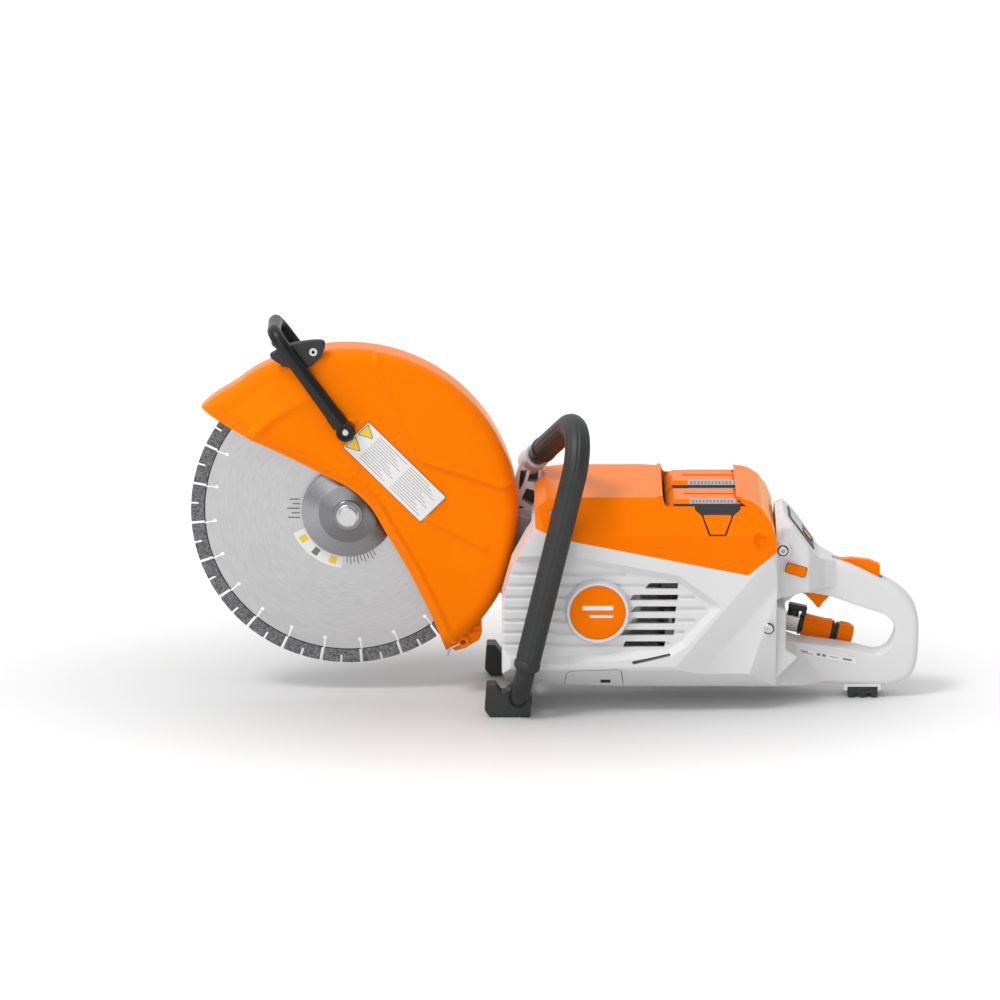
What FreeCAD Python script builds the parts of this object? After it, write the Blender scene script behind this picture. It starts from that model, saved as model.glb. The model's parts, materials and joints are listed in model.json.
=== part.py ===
import FreeCAD, Part
import math
import os

import Sketcher

# Rescue saw: a battery-powered cut-off saw with a 350 mm wheel. Millimetres.
# The drawing frame has its origin on the spindle axis: +X runs to the rear handle, +Y to the arm side, +Z up.
# Every sub-part is moved at the end, so that the row's origin is the middle of the saw's footprint
# on the floor.

SIZES = [
    # wheel and clamping
    ("wheel_plane", 14, "Y of the wheel's middle"),
    ("wheel_radius", 175, "350 mm wheel"),
    ("core_radius", 160.5, "steel core"),
    ("core_thick", 2.4, "steel core"),
    ("segment_thick", 3.6, "diamond segment"),
    ("segment_count", 24, "segments round the wheel"),
    ("slot_phase", 4.7, "degrees, first slot"),
    ("slot_width", 2.4, "gap between segments"),
    ("slot_foot", 149, "radius of the round end of a slot"),
    ("arbor_radius", 12.7, "25.4 mm wheel bore"),
    ("flange_radius", 51.5, "clamp flanges"),
    ("washer_radius", 16.8, "washer under the bolt head"),
    ("bolt_flats", 19, "clamp bolt head, across flats"),
    ("running_fit", 0.04, "radial clearance of a shaft that turns"),
    # spindle, arm and belt drive
    ("journal_radius", 10, "spindle in its bearings"),
    ("bearing_radius", 20, "outer ring of the spindle bearings"),
    ("bearing_wide", 11, "spindle and motor bearings"),
    ("hub_radius", 30, "arm hub that the guard turns on"),
    ("arm_near", 45, "Y of the arm's near face"),
    ("arm_far", 58, "Y of the arm's far face"),
    ("drive_far", 92, "Y of the belt cover's far face"),
    ("arm_tip", 40, "arm radius at the spindle"),
    ("arm_root", 50, "arm radius at the motor"),
    ("spindle_pulley_radius", 26, "belt seat"),
    ("motor_pulley_radius", 13, "belt seat"),
    ("belt_thick", 3, "drive belt"),
    ("belt_near", 63.5, "Y of the belt's near edge"),
    ("belt_far", 76.5, "Y of the belt's far edge"),
    # motor
    ("motor_across", 277, "X of the motor shaft"),
    ("motor_down", -90, "Z of the motor shaft"),
    ("motor_radius", 48, "motor can"),
    ("motor_shaft_radius", 6, "motor shaft"),
    ("rotor_radius", 31.4, "rotor core"),
    ("stator_bore", 32, "stator"),
    # guard
    ("guard_radius", 189, "outside of the guard"),
    ("guard_wall", 3, "guard wall"),
    ("guard_near", -16, "Y of the guard's near face"),
    ("guard_far", 42, "Y of the guard's far face"),
    ("guard_round", 14, "rounding of the guard's rim"),
    ("lever_radius", 8.5, "tube of the guard lever"),
    ("lever_reach", 225, "spindle axis to the lever's crossbar"),
    ("lever_foot_up", 100, "Z of the lever's feet"),
    # body
    ("floor_down", -208, "Z of the floor"),
    ("half_width", 92, "body, from the middle plane"),
    ("shell_wall", 3, "moulded shells"),
    ("body_front", 171, "X of the housing's nose"),
    ("body_rear", 475, "X of the housing's rear face"),
    ("seam_front", 3, "Z where cover and housing part, at the front"),
    ("seam_rear", -48, "Z where cover and housing part, at the rear"),
    ("cover_top", 37, "Z of the cover's top"),
    ("battery_front", 351, "X of the batteries' front"),
    ("battery_long", 112, "battery, along X"),
    ("battery_wide", 72, "battery, along Y"),
    ("battery_gap", 14, "between the two batteries"),
    ("battery_low", -60, "Z of the batteries' underside"),
    ("battery_high", 33, "Z of the batteries' top"),
    # handles and feet
    ("tube_radius", 11, "front handle tube"),
    ("tube_wall", 2, "front handle tube"),
    ("grip_radius", 14, "rubber grip on the tube"),
    ("handle_side", -113, "Y of the front handle's near leg"),
    ("tube_low", -190, "Z of the tube where it runs under the saw"),
    ("handle_half", 17.5, "rear handle, half its thickness"),
    ("panel_tilt", 52.8, "degrees, slope of the control panel"),
    # water fitting
    ("water_side", 35, "Y of the water line"),
    ("water_slope", 13, "degrees, fall of the water line towards the rear"),
    ("sleeve_radius", 13, "coupling sleeve"),
    ("hose_bore", 7.5, "bore of the coupling nut"),
    # the drawing frame's origin in the row's frame, worked out at the end
    ("home_across", 0, "X"),
    ("home_side", 0, "Y"),
    ("home_up", 0, "Z"),
]

X = FreeCAD.Vector(1, 0, 0)
Y = FreeCAD.Vector(0, 1, 0)
Z = FreeCAD.Vector(0, 0, 1)

doc = FreeCAD.newDocument("rescue_saw")
sheet = doc.addObject("Spreadsheet::Sheet", "Sizes")
for row, (alias, value, note) in enumerate(SIZES, start=1):
    sheet.set(f"A{row}", str(value))
    sheet.setAlias(f"A{row}", alias)
    sheet.set(f"B{row}", note)
doc.recompute()


class Size:
    """A length that keeps the sheet expression behind it, so that sums of sizes stay bound to the sheet."""

    def __init__(self, value, text):
        self.value = value
        self.text = text

    def joined(self, other, sign, value):
        return Size(value, f"({self.text} {sign} {of(other).text})")

    def __add__(self, other):
        return self.joined(other, "+", self.value + of(other).value)

    def __sub__(self, other):
        return self.joined(other, "-", self.value - of(other).value)

    def __mul__(self, other):
        return self.joined(other, "*", self.value * of(other).value)

    def __truediv__(self, other):
        return self.joined(other, "/", self.value / of(other).value)

    def __neg__(self):
        return Size(-self.value, f"(-{self.text})")

    def __radd__(self, other):
        return of(other) + self

    def __rsub__(self, other):
        return of(other) - self


def of(number):
    """The number as a Size."""
    return number if isinstance(number, Size) else Size(number, f"({number})")


def size(alias):
    """The sheet's size of this name."""
    return Size(float(sheet.get(alias)), f"Sizes.{alias}")


def plain(alias):
    """The sheet's size of this name as a number, for shapes that are made in code."""
    return size(alias).value


def bind(thing, **sizes):
    """Binds properties of a document object to the sheet."""
    for name, amount in sizes.items():
        thing.setExpression(name, of(amount).text)


# ---- sketches and simple solids ----

def draw(sketch, loops):
    """Draws closed loops: lists of corners, or ("circle", across, up, radius)."""
    lines = 0
    for loop in loops:
        if loop[0] == "circle":
            middle = FreeCAD.Vector(of(loop[1]).value, of(loop[2]).value, 0)
            round_edge = Part.Circle(middle, FreeCAD.Vector(0, 0, 1), of(loop[3]).value)
            circle = sketch.addGeometry(round_edge, False)
            place_point(sketch, circle, 3, loop[1], loop[2])
            radius = sketch.addConstraint(Sketcher.Constraint("Radius", circle, of(loop[3]).value))
            sketch.setExpression(f"Constraints[{radius}]", of(loop[3]).text)
            lines += 1
            continue
        corners = [FreeCAD.Vector(of(a).value, of(b).value, 0) for a, b in loop]
        count = len(corners)
        for i in range(count):
            sketch.addGeometry(Part.LineSegment(corners[i], corners[(i + 1) % count]), False)
        for i in range(count):
            follower = lines + (i + 1) % count
            sketch.addConstraint(Sketcher.Constraint("Coincident", lines + i, 2, follower, 1))
        for i, (across, up) in enumerate(loop):
            place_point(sketch, lines + i, 1, across, up)
        lines += count


def place_point(sketch, geometry, point, across, up):
    """Holds one point of a sketch at a place that the sheet gives."""
    for kind, amount in (("DistanceX", of(across)), ("DistanceY", of(up))):
        made = sketch.addConstraint(Sketcher.Constraint(kind, -1, 1, geometry, point, amount.value))
        if "Sizes." in amount.text:
            sketch.setExpression(f"Constraints[{made}]", amount.text)


PLANES = {
    "side": (FreeCAD.Rotation(X, 90), Y, "Placement.Base.y"),
    "plan": (FreeCAD.Rotation(), Z, "Placement.Base.z"),
    "front": (FreeCAD.Rotation(FreeCAD.Vector(1, 1, 1), 120), X, "Placement.Base.x"),
}


def outline(name, plane, loops, low):
    """A sketch that stands across the side, plan or front direction at the place low."""
    sketch = doc.addObject("Sketcher::SketchObject", name + "_outline")
    sketch.Placement = FreeCAD.Placement(FreeCAD.Vector(), PLANES[plane][0])
    draw(sketch, loops)
    bind(sketch, **{PLANES[plane][2]: low})
    return sketch


def prism(name, plane, loops, low, high, shrink=None):
    """A straight solid from low to high. shrink draws its outline in by that much."""
    base = outline(name, plane, loops, low)
    if shrink is not None:
        inner = doc.addObject("Part::Offset2D", name + "_inner")
        inner.Source = base
        inner.Join = 2
        bind(inner, Value=-shrink)
        base = inner
    solid = doc.addObject("Part::Extrusion", name)
    solid.Base = base
    solid.DirMode = "Custom"
    solid.Dir = PLANES[plane][1]
    solid.Solid = True
    bind(solid, LengthFwd=of(high) - low)
    return solid


def box(name, low, high):
    """A box between two corners."""
    solid = doc.addObject("Part::Box", name)
    bind(solid, Length=of(high[0]) - low[0], Width=of(high[1]) - low[1], Height=of(high[2]) - low[2])
    bind(solid, **{"Placement.Base.x": low[0], "Placement.Base.y": low[1], "Placement.Base.z": low[2]})
    return solid


def rod(name, radius, low, high, across=0, up=0):
    """A cylinder along Y from low to high."""
    solid = doc.addObject("Part::Cylinder", name)
    solid.Placement = FreeCAD.Placement(FreeCAD.Vector(), FreeCAD.Rotation(X, -90))
    bind(solid, Radius=radius, Height=of(high) - low)
    bind(solid, **{"Placement.Base.x": across, "Placement.Base.y": low, "Placement.Base.z": up})
    return solid


def cut(name, base, *tools):
    """base without the tools."""
    made = doc.addObject("Part::Cut", name)
    made.Base = base
    made.Tool = tools[0] if len(tools) == 1 else joined(name + "_tools", *tools)
    return made


def joined(name, *solids):
    """One object of several solids, which fuse where they meet."""
    made = doc.addObject("Part::MultiFuse", name)
    made.Shapes = list(solids)
    return made


def shared(name, *solids):
    """What all the solids have in common."""
    made = doc.addObject("Part::MultiCommon", name)
    made.Shapes = list(solids)
    return made


def origin_plane(body, role):
    """One of a body's own origin planes or axes."""
    return next(item for item in body.Origin.OriginFeatures if item.Role == role)


def body_sketch(body, name, role, loops, shift=0):
    """A sketch on one of the body's own planes, shift along that plane's normal."""
    sketch = body.newObject("Sketcher::SketchObject", name)
    sketch.AttachmentSupport = [(origin_plane(body, role), "")]
    sketch.MapMode = "FlatFace"
    draw(sketch, loops)
    bind(sketch, **{"AttachmentOffset.Base.z": shift})
    return sketch


homes = {}


def turned(name, profile, across=0, up=0):
    """A body turned about the Y direction from (along, radius) corners. Its axis stands at across and up."""
    body = doc.addObject("PartDesign::Body", name)
    sketch = body_sketch(body, name + "_profile", "YZ_Plane", [profile])
    feature = body.newObject("PartDesign::Revolution", name + "_turned")
    feature.Profile = sketch
    feature.ReferenceAxis = (sketch, ["H_Axis"])
    feature.Angle = 360
    homes[body.Name] = (across, up)
    return body


def plate(name, loops, low, high):
    """A body padded from a side outline, from Y low to high."""
    body = doc.addObject("PartDesign::Body", name)
    add_pad(body, name + "_pad", loops, low, high)
    return body


def add_pad(body, name, loops, low, high):
    """Adds a pad with a side outline to a body, from Y low to high."""
    sketch = body_sketch(body, name + "_sketch", "XZ_Plane", loops, -of(high))
    feature = body.newObject("PartDesign::Pad", name)
    feature.Profile = sketch
    bind(feature, Length=of(high) - low)
    return feature


def add_pocket(body, name, loops):
    """Cuts a side outline right through a body."""
    sketch = body_sketch(body, name + "_sketch", "XZ_Plane", loops)
    feature = body.newObject("PartDesign::Pocket", name)
    feature.Profile = sketch
    feature.Type = 1
    feature.Midplane = True
    return feature


def feature(name, shape):
    """A document object that holds a shape made in code from the sheet's sizes."""
    made = doc.addObject("Part::Feature", name)
    made.Shape = shape
    return made


subparts = []


def part(label, thing):
    """Names a finished sub-part."""
    thing.Label = label
    subparts.append(thing)
    return thing


# ---- wheel and spindle ----

def wheel_core():
    """Steel disc with a keyhole slot before each segment."""
    half = size("core_thick") / 2
    middle = size("wheel_plane")
    arbor = size("arbor_radius")
    rim = size("core_radius")
    body = turned("core", [
        (middle - half, arbor), (middle - half, rim), (middle + half, rim), (middle + half, arbor)])
    doc.recompute()
    before = body.Shape.Volume
    foot = size("slot_foot")
    wide = size("slot_width") / 2
    slot = [(foot, -wide), (rim + 2, -wide), (rim + 2, wide), (foot, wide)]
    keyhole = add_pocket(body, "core_slot", [slot])
    turn = body.newObject("PartDesign::PolarPattern", "core_slots")
    turn.Originals = [keyhole]
    turn.Axis = (origin_plane(body, "Y_Axis"), [""])
    turn.Angle = 360
    bind(turn, Occurrences=size("segment_count"))
    body.Tip = turn
    body.Placement = FreeCAD.Placement(FreeCAD.Vector(), FreeCAD.Rotation(Y, -plain("slot_phase")))
    doc.recompute()
    assert body.Shape.Volume < before - 500
    return body


def wheel_segments():
    """The diamond segments, each between two slots."""
    pitch = 360 / plain("segment_count")
    inner = plain("core_radius")
    outer = plain("wheel_radius")
    half = plain("segment_thick") / 2
    gap = math.degrees(plain("slot_width") / inner) / 2
    middle = plain("wheel_plane")
    solids = []
    for i in range(int(plain("segment_count"))):
        start = plain("slot_phase") + i * pitch + gap
        stop = plain("slot_phase") + (i + 1) * pitch - gap
        angles = [math.radians(angle) for angle in (start, (start + stop) / 2, stop)]
        points = {}
        for radius in (inner, outer):
            points[radius] = [
                FreeCAD.Vector(radius * math.cos(a), middle - half, radius * math.sin(a)) for a in angles]
        edges = [
            Part.Arc(*points[outer]).toShape(),
            Part.makeLine(points[outer][2], points[inner][2]),
            Part.Arc(*reversed(points[inner])).toShape(),
            Part.makeLine(points[inner][0], points[outer][0]),
        ]
        solids.append(Part.Face(Part.Wire(edges)).extrude(Y * half * 2))
    return feature("segments", Part.makeCompound(solids))


def clamping():
    """Flanges, washer and bolt that hold the wheel on the spindle."""
    near = size("wheel_plane") - size("core_thick") / 2
    far = size("wheel_plane") + size("core_thick") / 2
    rim = size("flange_radius")
    arbor = size("arbor_radius")
    washer = size("washer_radius")
    part("outer_flange", turned("outer_flange_body", [
        (near, arbor), (near, rim), (near - 6.8, rim), (near - 16.8, 32.4), (near - 22.8, washer + 0.7),
        (near - 22.8, 5.4), (near - 17, 5.4), (near - 17, arbor)]))
    part("inner_flange", turned("inner_flange_body", [
        (far, arbor), (far, rim), (far + 5.8, rim), (far + 11, 24), (far + 15.8, 24), (far + 15.8, arbor)]))
    part("clamp_washer", turned("washer_body", [
        (near - 25.8, 5.2), (near - 25.8, washer), (near - 22.8, washer), (near - 22.8, 5.2)]))
    head = doc.addObject("Part::Prism", "bolt_head")
    head.Polygon = 6
    head.Placement = FreeCAD.Placement(FreeCAD.Vector(), FreeCAD.Rotation(X, 90))
    bind(head, Circumradius=size("bolt_flats") / math.sqrt(3), Height=8)
    bind(head, **{"Placement.Base.y": near - 25.8})
    shank = rod("bolt_shank", 4.95, near - 25.9, near + 7)
    part("clamp_bolt", joined("bolt", head, shank))


def spindle():
    """Stepped shaft with a threaded end for the clamp bolt, and its pulley."""
    near = size("wheel_plane") - size("core_thick") / 2
    seat = size("arbor_radius") - 0.1
    journal = size("journal_radius")
    part("spindle_shaft", turned("spindle_body", [
        (near - 16.8, 5), (near - 16.8, seat), (31, seat), (31, journal), (60, journal),
        (60, 8), (82, 8), (82, 0), (near + 9, 0), (near + 9, 5)]))
    part("spindle_pulley", pulley("spindle_pulley_body", size("spindle_pulley_radius"), 8.05, 0, 0))


def pulley(name, seat, bore, across, up):
    """A belt pulley with a low rim on each side of the belt seat."""
    near = size("belt_near")
    far = size("belt_far")
    return turned(name, [
        (near - 2.5, bore), (near - 2.5, seat + 2), (near - 0.5, seat + 2), (near - 0.5, seat),
        (far + 0.5, seat), (far + 0.5, seat + 2), (far + 2.5, seat + 2), (far + 2.5, bore)], across, up)


def ring_pair(name, inner, outer, places, wide, across, up):
    """Two bearings on one shaft as plain rings."""
    rings = []
    for i, low in enumerate(places):
        around = rod(f"{name}_{i}_outer", outer, low, low + wide, across, up)
        hole = rod(f"{name}_{i}_hole", inner, low - 1, low + wide + 1, across, up)
        rings.append(cut(f"{name}_{i}", around, hole))
    return joined(name, *rings)


# ---- arm and belt ----

def belt_face(at_spindle, at_motor, low):
    """The flat shape of a belt run: two circles and their outer tangents, at Y low."""
    far = FreeCAD.Vector(plain("motor_across"), 0, plain("motor_down"))
    lean = math.atan2(far.z, far.x)
    spread = math.acos((at_spindle - at_motor) / far.Length)

    def rim(middle, radius, angle):
        return middle + FreeCAD.Vector(radius * math.cos(angle), low, radius * math.sin(angle))

    start = FreeCAD.Vector()
    upper, lower = lean + spread, lean - spread
    edges = [
        Part.Arc(rim(start, at_spindle, upper), rim(start, at_spindle, lean + math.pi),
                 rim(start, at_spindle, lower)).toShape(),
        Part.makeLine(rim(start, at_spindle, lower), rim(far, at_motor, lower)),
        Part.Arc(rim(far, at_motor, lower), rim(far, at_motor, lean), rim(far, at_motor, upper)).toShape(),
        Part.makeLine(rim(far, at_motor, upper), rim(start, at_spindle, upper)),
    ]
    return Part.Face(Part.Wire(edges))


def belt_solid(name, at_spindle, at_motor, low, high):
    """The belt run's flat shape made solid between two Y places."""
    return feature(name, belt_face(at_spindle, at_motor, low).extrude(Y * (high - low)))


def drive_side():
    """Cutting arm, spindle bearings, belt and belt cover."""
    near = size("arm_near")
    far = size("arm_far")
    motor = (size("motor_across"), size("motor_down"))
    web = belt_solid("arm_web", plain("arm_tip"), plain("arm_root"), plain("arm_near"), plain("arm_far"))
    lug = prism("arm_lug", "side", [[(190, -60), (212, -60), (212, -6), (190, -6)]], near, far)
    hub = rod("arm_hub", size("hub_radius") - 0.1, near - 12, near + 1)
    bore = rod("arm_bore", size("bearing_radius"), near - 14, far + 2)
    shaft_hole = rod("arm_shaft_hole", 20, near - 1, far + 1, *motor)
    part("cutting_arm", cut("arm", joined("arm_solid", web, lug, hub), bore, shaft_hole))

    wide = size("bearing_wide")
    part("spindle_bearings", ring_pair("spindle_rings", size("journal_radius") + size("running_fit"),
                                       size("bearing_radius"), [near - 11, far - wide], wide, 0, 0))

    clear = 0.3
    spindle_seat = plain("spindle_pulley_radius") + clear
    motor_seat = plain("motor_pulley_radius") + clear
    thick = plain("belt_thick")
    places = (plain("belt_near"), plain("belt_far"))
    outside = belt_solid("belt_outside", spindle_seat + thick, motor_seat + thick, *places)
    inside = belt_solid("belt_inside", spindle_seat, motor_seat, places[0] - 1, places[1] + 1)
    part("drive_belt", cut("belt", outside, inside))

    wall = plain("shell_wall")
    outside = belt_solid("cover_outside", plain("arm_tip"), plain("arm_root"),
                         plain("arm_far"), plain("drive_far"))
    inside = belt_solid("cover_inside", plain("arm_tip") - wall, plain("arm_root") - wall,
                        plain("arm_far") - 1, plain("drive_far") - wall)
    return cut("belt_cover_shell", outside, inside)


# ---- motor ----

def motor():
    """Motor can, flange, stator, rotor, shaft, bearings, fan and pulley, all about the motor axis."""
    at = (size("motor_across"), size("motor_down"))
    can = size("motor_radius")
    shaft = size("motor_shaft_radius")
    part("motor_can", turned("can_body", [
        (-62, 11), (-62, 15), (-54, 20), (-54, can), (34, can), (34, can - 3), (-51, can - 3), (-51, 18),
        (-53, 11)], *at))
    part("motor_flange", turned("flange_body", [(34, 11), (34, can), (42, can), (42, 11)], *at))
    part("motor_stator", turned("stator_body", [
        (-30, size("stator_bore")), (-30, can - 3.1), (20, can - 3.1), (20, size("stator_bore"))], *at))
    part("rotor_core", turned("rotor_body", [
        (-30, shaft), (-30, size("rotor_radius")), (20, size("rotor_radius")), (20, shaft)], *at))
    part("motor_shaft", turned("shaft_body", [(-62, 0), (-62, shaft), (80, shaft), (80, 0)], *at))
    part("motor_bearings", ring_pair("motor_rings", shaft + size("running_fit"), 11, [-62, 34], 8, *at))
    part("motor_pulley", pulley("motor_pulley_body", size("motor_pulley_radius"), shaft, *at))
    part("cooling_fan", fan(at))


def fan(at):
    """Back plate with straight blades."""
    shaft = size("motor_shaft_radius")
    disc = cut("fan_disc", rod("fan_round", 42, -37, -35, *at), rod("fan_hole", shaft, -38, -34, *at))
    blades = []
    for i in range(9):
        turn = math.radians(40 * i)
        blade = Part.makeBox(30, 14, 1.6, FreeCAD.Vector(11, -49, -0.8))
        blade.rotate(FreeCAD.Vector(), Y, -math.degrees(turn))
        blade.translate(FreeCAD.Vector(at[0].value, 0, at[1].value))
        blades.append(feature(f"fan_blade_{i}", blade))
    hub = cut("fan_hub", rod("fan_hub_round", 12, -49, -35, *at), rod("fan_hub_hole", shaft, -50, -34, *at))
    return joined("fan", disc, hub, *blades)


# ---- guard ----

GUARD_EDGE = [
    (-161, 118), (-138, 103), (-74, 72), (-23, 46), (3, 32), (26, 10), (41, -16), (67, -61), (95, -119),
    (110, -158), (118, -230), (-230, -230), (-230, 118),
]


def guard_shell():
    """Half-open drum over the wheel, with the hub ring it turns on, a front lip and a rear lug."""
    near = size("guard_near")
    far = size("guard_far")
    wall = size("guard_wall")
    rim = size("guard_radius")
    hole = size("hub_radius") + 0.05
    body = turned("guard_body", [
        (near, 20), (near, rim), (far, rim), (far, hole), (far - wall, hole), (far - wall, rim - wall),
        (near + wall, rim - wall), (near + wall, 20)])
    doc.recompute()
    previous = body.Tip
    outer_round = size("guard_round")
    for radius, rounding in ((rim.value, outer_round), (rim.value - wall.value, outer_round - wall)):
        names = [
            f"Edge{i}" for i, edge in enumerate(body.Shape.Edges, start=1)
            if hasattr(edge.Curve, "Radius") and abs(edge.Curve.Radius - radius) < 0.01
        ]
        rounded = body.newObject("PartDesign::Fillet", f"guard_rim_{round(radius)}")
        rounded.Base = (previous, names)
        bind(rounded, Radius=rounding)
        doc.recompute()
        previous = rounded
    before = body.Shape.Volume
    add_pocket(body, "guard_mouth", [GUARD_EDGE])
    doc.recompute()
    assert body.Shape.Volume < before * 0.8
    ring = [("circle", 0, 0, 46), ("circle", 0, 0, hole)]
    add_pad(body, "guard_hub", ring, far - wall, far)
    lip = [(-130, 118), (-161, 118), (-163, 122), (-150, 133), (-134, 137)]
    add_pad(body, "guard_lip", [lip], near + 8, far - 8)
    lug = [(112, -144), (114, -162), (121, -166), (155, -133), (150, -118), (136, -118)]
    add_pad(body, "guard_lug", [lug, ("circle", 129, -146, 3)], -4, 32)
    return body


def guard():
    """Guard shell with its lever, bracket, screws and water nozzles."""
    shell = guard_shell()
    near = plain("guard_near")
    far = plain("guard_far")
    off = plain("lever_radius") + 1.2
    high = plain("lever_reach")
    lean = math.radians(111)
    foot = FreeCAD.Vector(-2, 0, plain("lever_foot_up"))
    head = FreeCAD.Vector(high * math.cos(lean), 0, high * math.sin(lean))
    path = [foot + Y * (near - off), head + Y * (near - off), head + Y * (far + off), foot + Y * (far + off)]
    part("guard_lever", feature("lever_tube", pipe(path, [16, 16], plain("lever_radius"), 0)))

    saddle = doc.addObject("Part::Cylinder", "saddle_round")
    saddle.Angle = 22
    bind(saddle, Radius=size("guard_radius") + 13, Height=size("guard_far") - size("guard_near") - 6)
    turn = FreeCAD.Rotation(Y, -97) * FreeCAD.Rotation(X, 90)
    saddle.Placement = FreeCAD.Placement(FreeCAD.Vector(0, far - 3, 0), turn)
    screws = []
    for side, low, high in (("near", near - 3, near + 6), ("far", far - 6, far + 3)):
        screws.append(rod(f"guard_screw_{side}", 5, low, high, -37, 197))
    inside = rod("saddle_inside", size("guard_radius") + 0.05, -60, 90)
    part("lever_bracket", cut("saddle", saddle, inside, *screws))
    part("guard_screws", joined("guard_screw_set", *screws))

    nozzles = []
    for side, low, high in (("near", near + 3.1, near + 10), ("far", far - 10, far - 3.1)):
        nozzles.append(rod(f"nozzle_{side}", 4, low, high, 40, 120))
    part("water_nozzles", joined("nozzle_set", *nozzles))
    part("guard_shell", shell)


def pipe(points, rounds, radius, bore):
    """A round bar, or a tube if bore isn't 0, along straight runs joined by tangent arcs."""
    edges = []
    start = points[0]
    for i in range(1, len(points) - 1):
        corner = points[i]
        back = (points[i - 1] - corner).normalize()
        on = (points[i + 1] - corner).normalize()
        half = math.acos(max(-1, min(1, back.dot(on)))) / 2
        reach = rounds[i - 1] / math.tan(half)
        bisector = (back + on).normalize()
        enter = corner + back * reach
        leave = corner + on * reach
        middle = corner + bisector * (rounds[i - 1] / math.sin(half) - rounds[i - 1])
        edges.append(Part.makeLine(start, enter))
        edges.append(Part.Arc(enter, middle, leave).toShape())
        start = leave
    edges.append(Part.makeLine(start, points[-1]))
    path = Part.Wire(edges)
    along = (points[1] - points[0]).normalize()
    solids = []
    for size_here in (radius, bore):
        if size_here:
            ring = Part.Wire(Part.makeCircle(size_here, points[0], along))
            solids.append(path.makePipeShell([ring], True, True))
    shape = solids[0] if len(solids) == 1 else solids[0].cut(solids[1])
    length = path.Length
    wanted = math.pi * (radius ** 2 - bore ** 2) * length
    assert abs(shape.Volume - wanted) < wanted * 0.01
    return shape


# ---- body shells ----

BODY_PLAN = [
    (171, -84), (171, -22), (204, -22), (204, 44), (214, 44), (214, 80), (226, 92), (468, 92), (475, 86),
    (475, -86), (468, -92), (180, -92),
]


def halves(name, shell, low, high):
    """The near and far half of a shell, parted on the middle plane."""
    width = 130
    near = shared(name + "_near", shell, box(name + "_near_box", (low, -width, -240), (high, 0, 120)))
    far = shared(name + "_far", shell, box(name + "_far_box", (low, 0, -240), (high, width, 120)))
    return near, far


def housing():
    """Light housing in two halves, open at the top, with air slots on the near side."""
    front = size("body_front")
    rear = size("body_rear")
    seam = size("seam_front")
    sink = size("seam_rear")
    wall = size("shell_wall")
    half = size("half_width")
    side = [
        (208, seam), (197, -14), (182, -42), (front, -81), (front - 1, -105), (front, -160),
        (front + 5, -177), (rear, -190), (rear, -21), (443, sink), (251, seam - 13)]
    inside = [
        (212, seam + 12), (200.5, -13), (185.5, -41), (front + wall, -80), (front + 2, -105),
        (front + wall, -159), (front + 7, -174), (rear - wall, -187), (rear - wall, 0),
        (443, sink + 20), (251, seam + 7)]
    section = [(-half, 60), (-half, -157), (-66, -195), (66, -195), (half, -157), (half, 60)]
    outer = shared("housing_outer",
                   prism("housing_side", "side", [side], -half, half),
                   prism("housing_plan", "plan", [BODY_PLAN], -230, 70),
                   prism("housing_section", "front", [section], 160, 490))
    inner = shared("housing_inner",
                   prism("housing_side_in", "side", [inside], -half, half),
                   prism("housing_plan_in", "plan", [BODY_PLAN], -230, 70, wall),
                   prism("housing_section_in", "front", [section], 160, 490, wall))
    recess = [(150, -7), (206, -7), (251, -21), (300, -33), (343, -36), (343, -230), (150, -230)]
    outer = cut("housing_recessed", outer, prism("arm_recess", "side", [recess], size("arm_near"), 100),
                *tail_wedges("tail", -76, 0))
    shrunk = [(150, -4), (207, -4), (252, -18), (301, -30), (346, -33), (346, -230), (150, -230)]
    inner = cut("housing_hollow", inner,
                prism("arm_recess_in", "side", [shrunk], size("arm_near") - wall, 100),
                *tail_wedges("tail_in", -73, 3.5))
    shell = cut("housing_shell", outer, inner, *air_slots(), *shared_holes())
    return halves("housing", shell, 160, 490)


def tail_wedges(name, top, inward):
    """The two corners that the housing loses towards the rear, below Z top."""
    wedges = []
    for side in (-1, 1):
        corners = [(436, 92), (475, 60), (490, 60), (490, 110), (436, 110)]
        plan = [(across, side * (along - inward if along < 100 else along)) for across, along in corners]
        wedges.append(prism(f"{name}_{side + 1}", "plan", [plan], -240, top))
    return wedges


def air_slots():
    """Six slots beside the badge."""
    starts = [329, 311.5, 313.5, 311.5, 301.5, 305]
    ends = [366, 366, 364, 363, 362, 352]
    top = -61.5
    pitch = 13.3
    tall = 5.5
    slots = []
    for i, (start, end) in enumerate(zip(starts, ends)):
        middle = top - i * pitch
        slots.append(box(f"air_slot_{i}", (start, -100, middle - tall / 2), (end, -85, middle + tall / 2)))
    return slots


def shared_holes():
    """Holes in the housing for the motor shaft and the service cover."""
    shaft = rod("housing_shaft_hole", 14, 40, 47, size("motor_across"), size("motor_down"))
    slope = [(-96, -156.5), (-78, -182.5), (-74, -178.2), (-89, -154)]
    hatch = prism("hatch_hole", "front", [slope], 243.7, 302.3)
    return shaft, hatch


def service_cover():
    """Panel in the lower bevel of the near side."""
    plate_outline = [(-91, -158.9), (-78.5, -177.2), (-76.5, -175.8), (-89, -157.5)]
    return prism("hatch", "front", [plate_outline], 244, 302)


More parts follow.
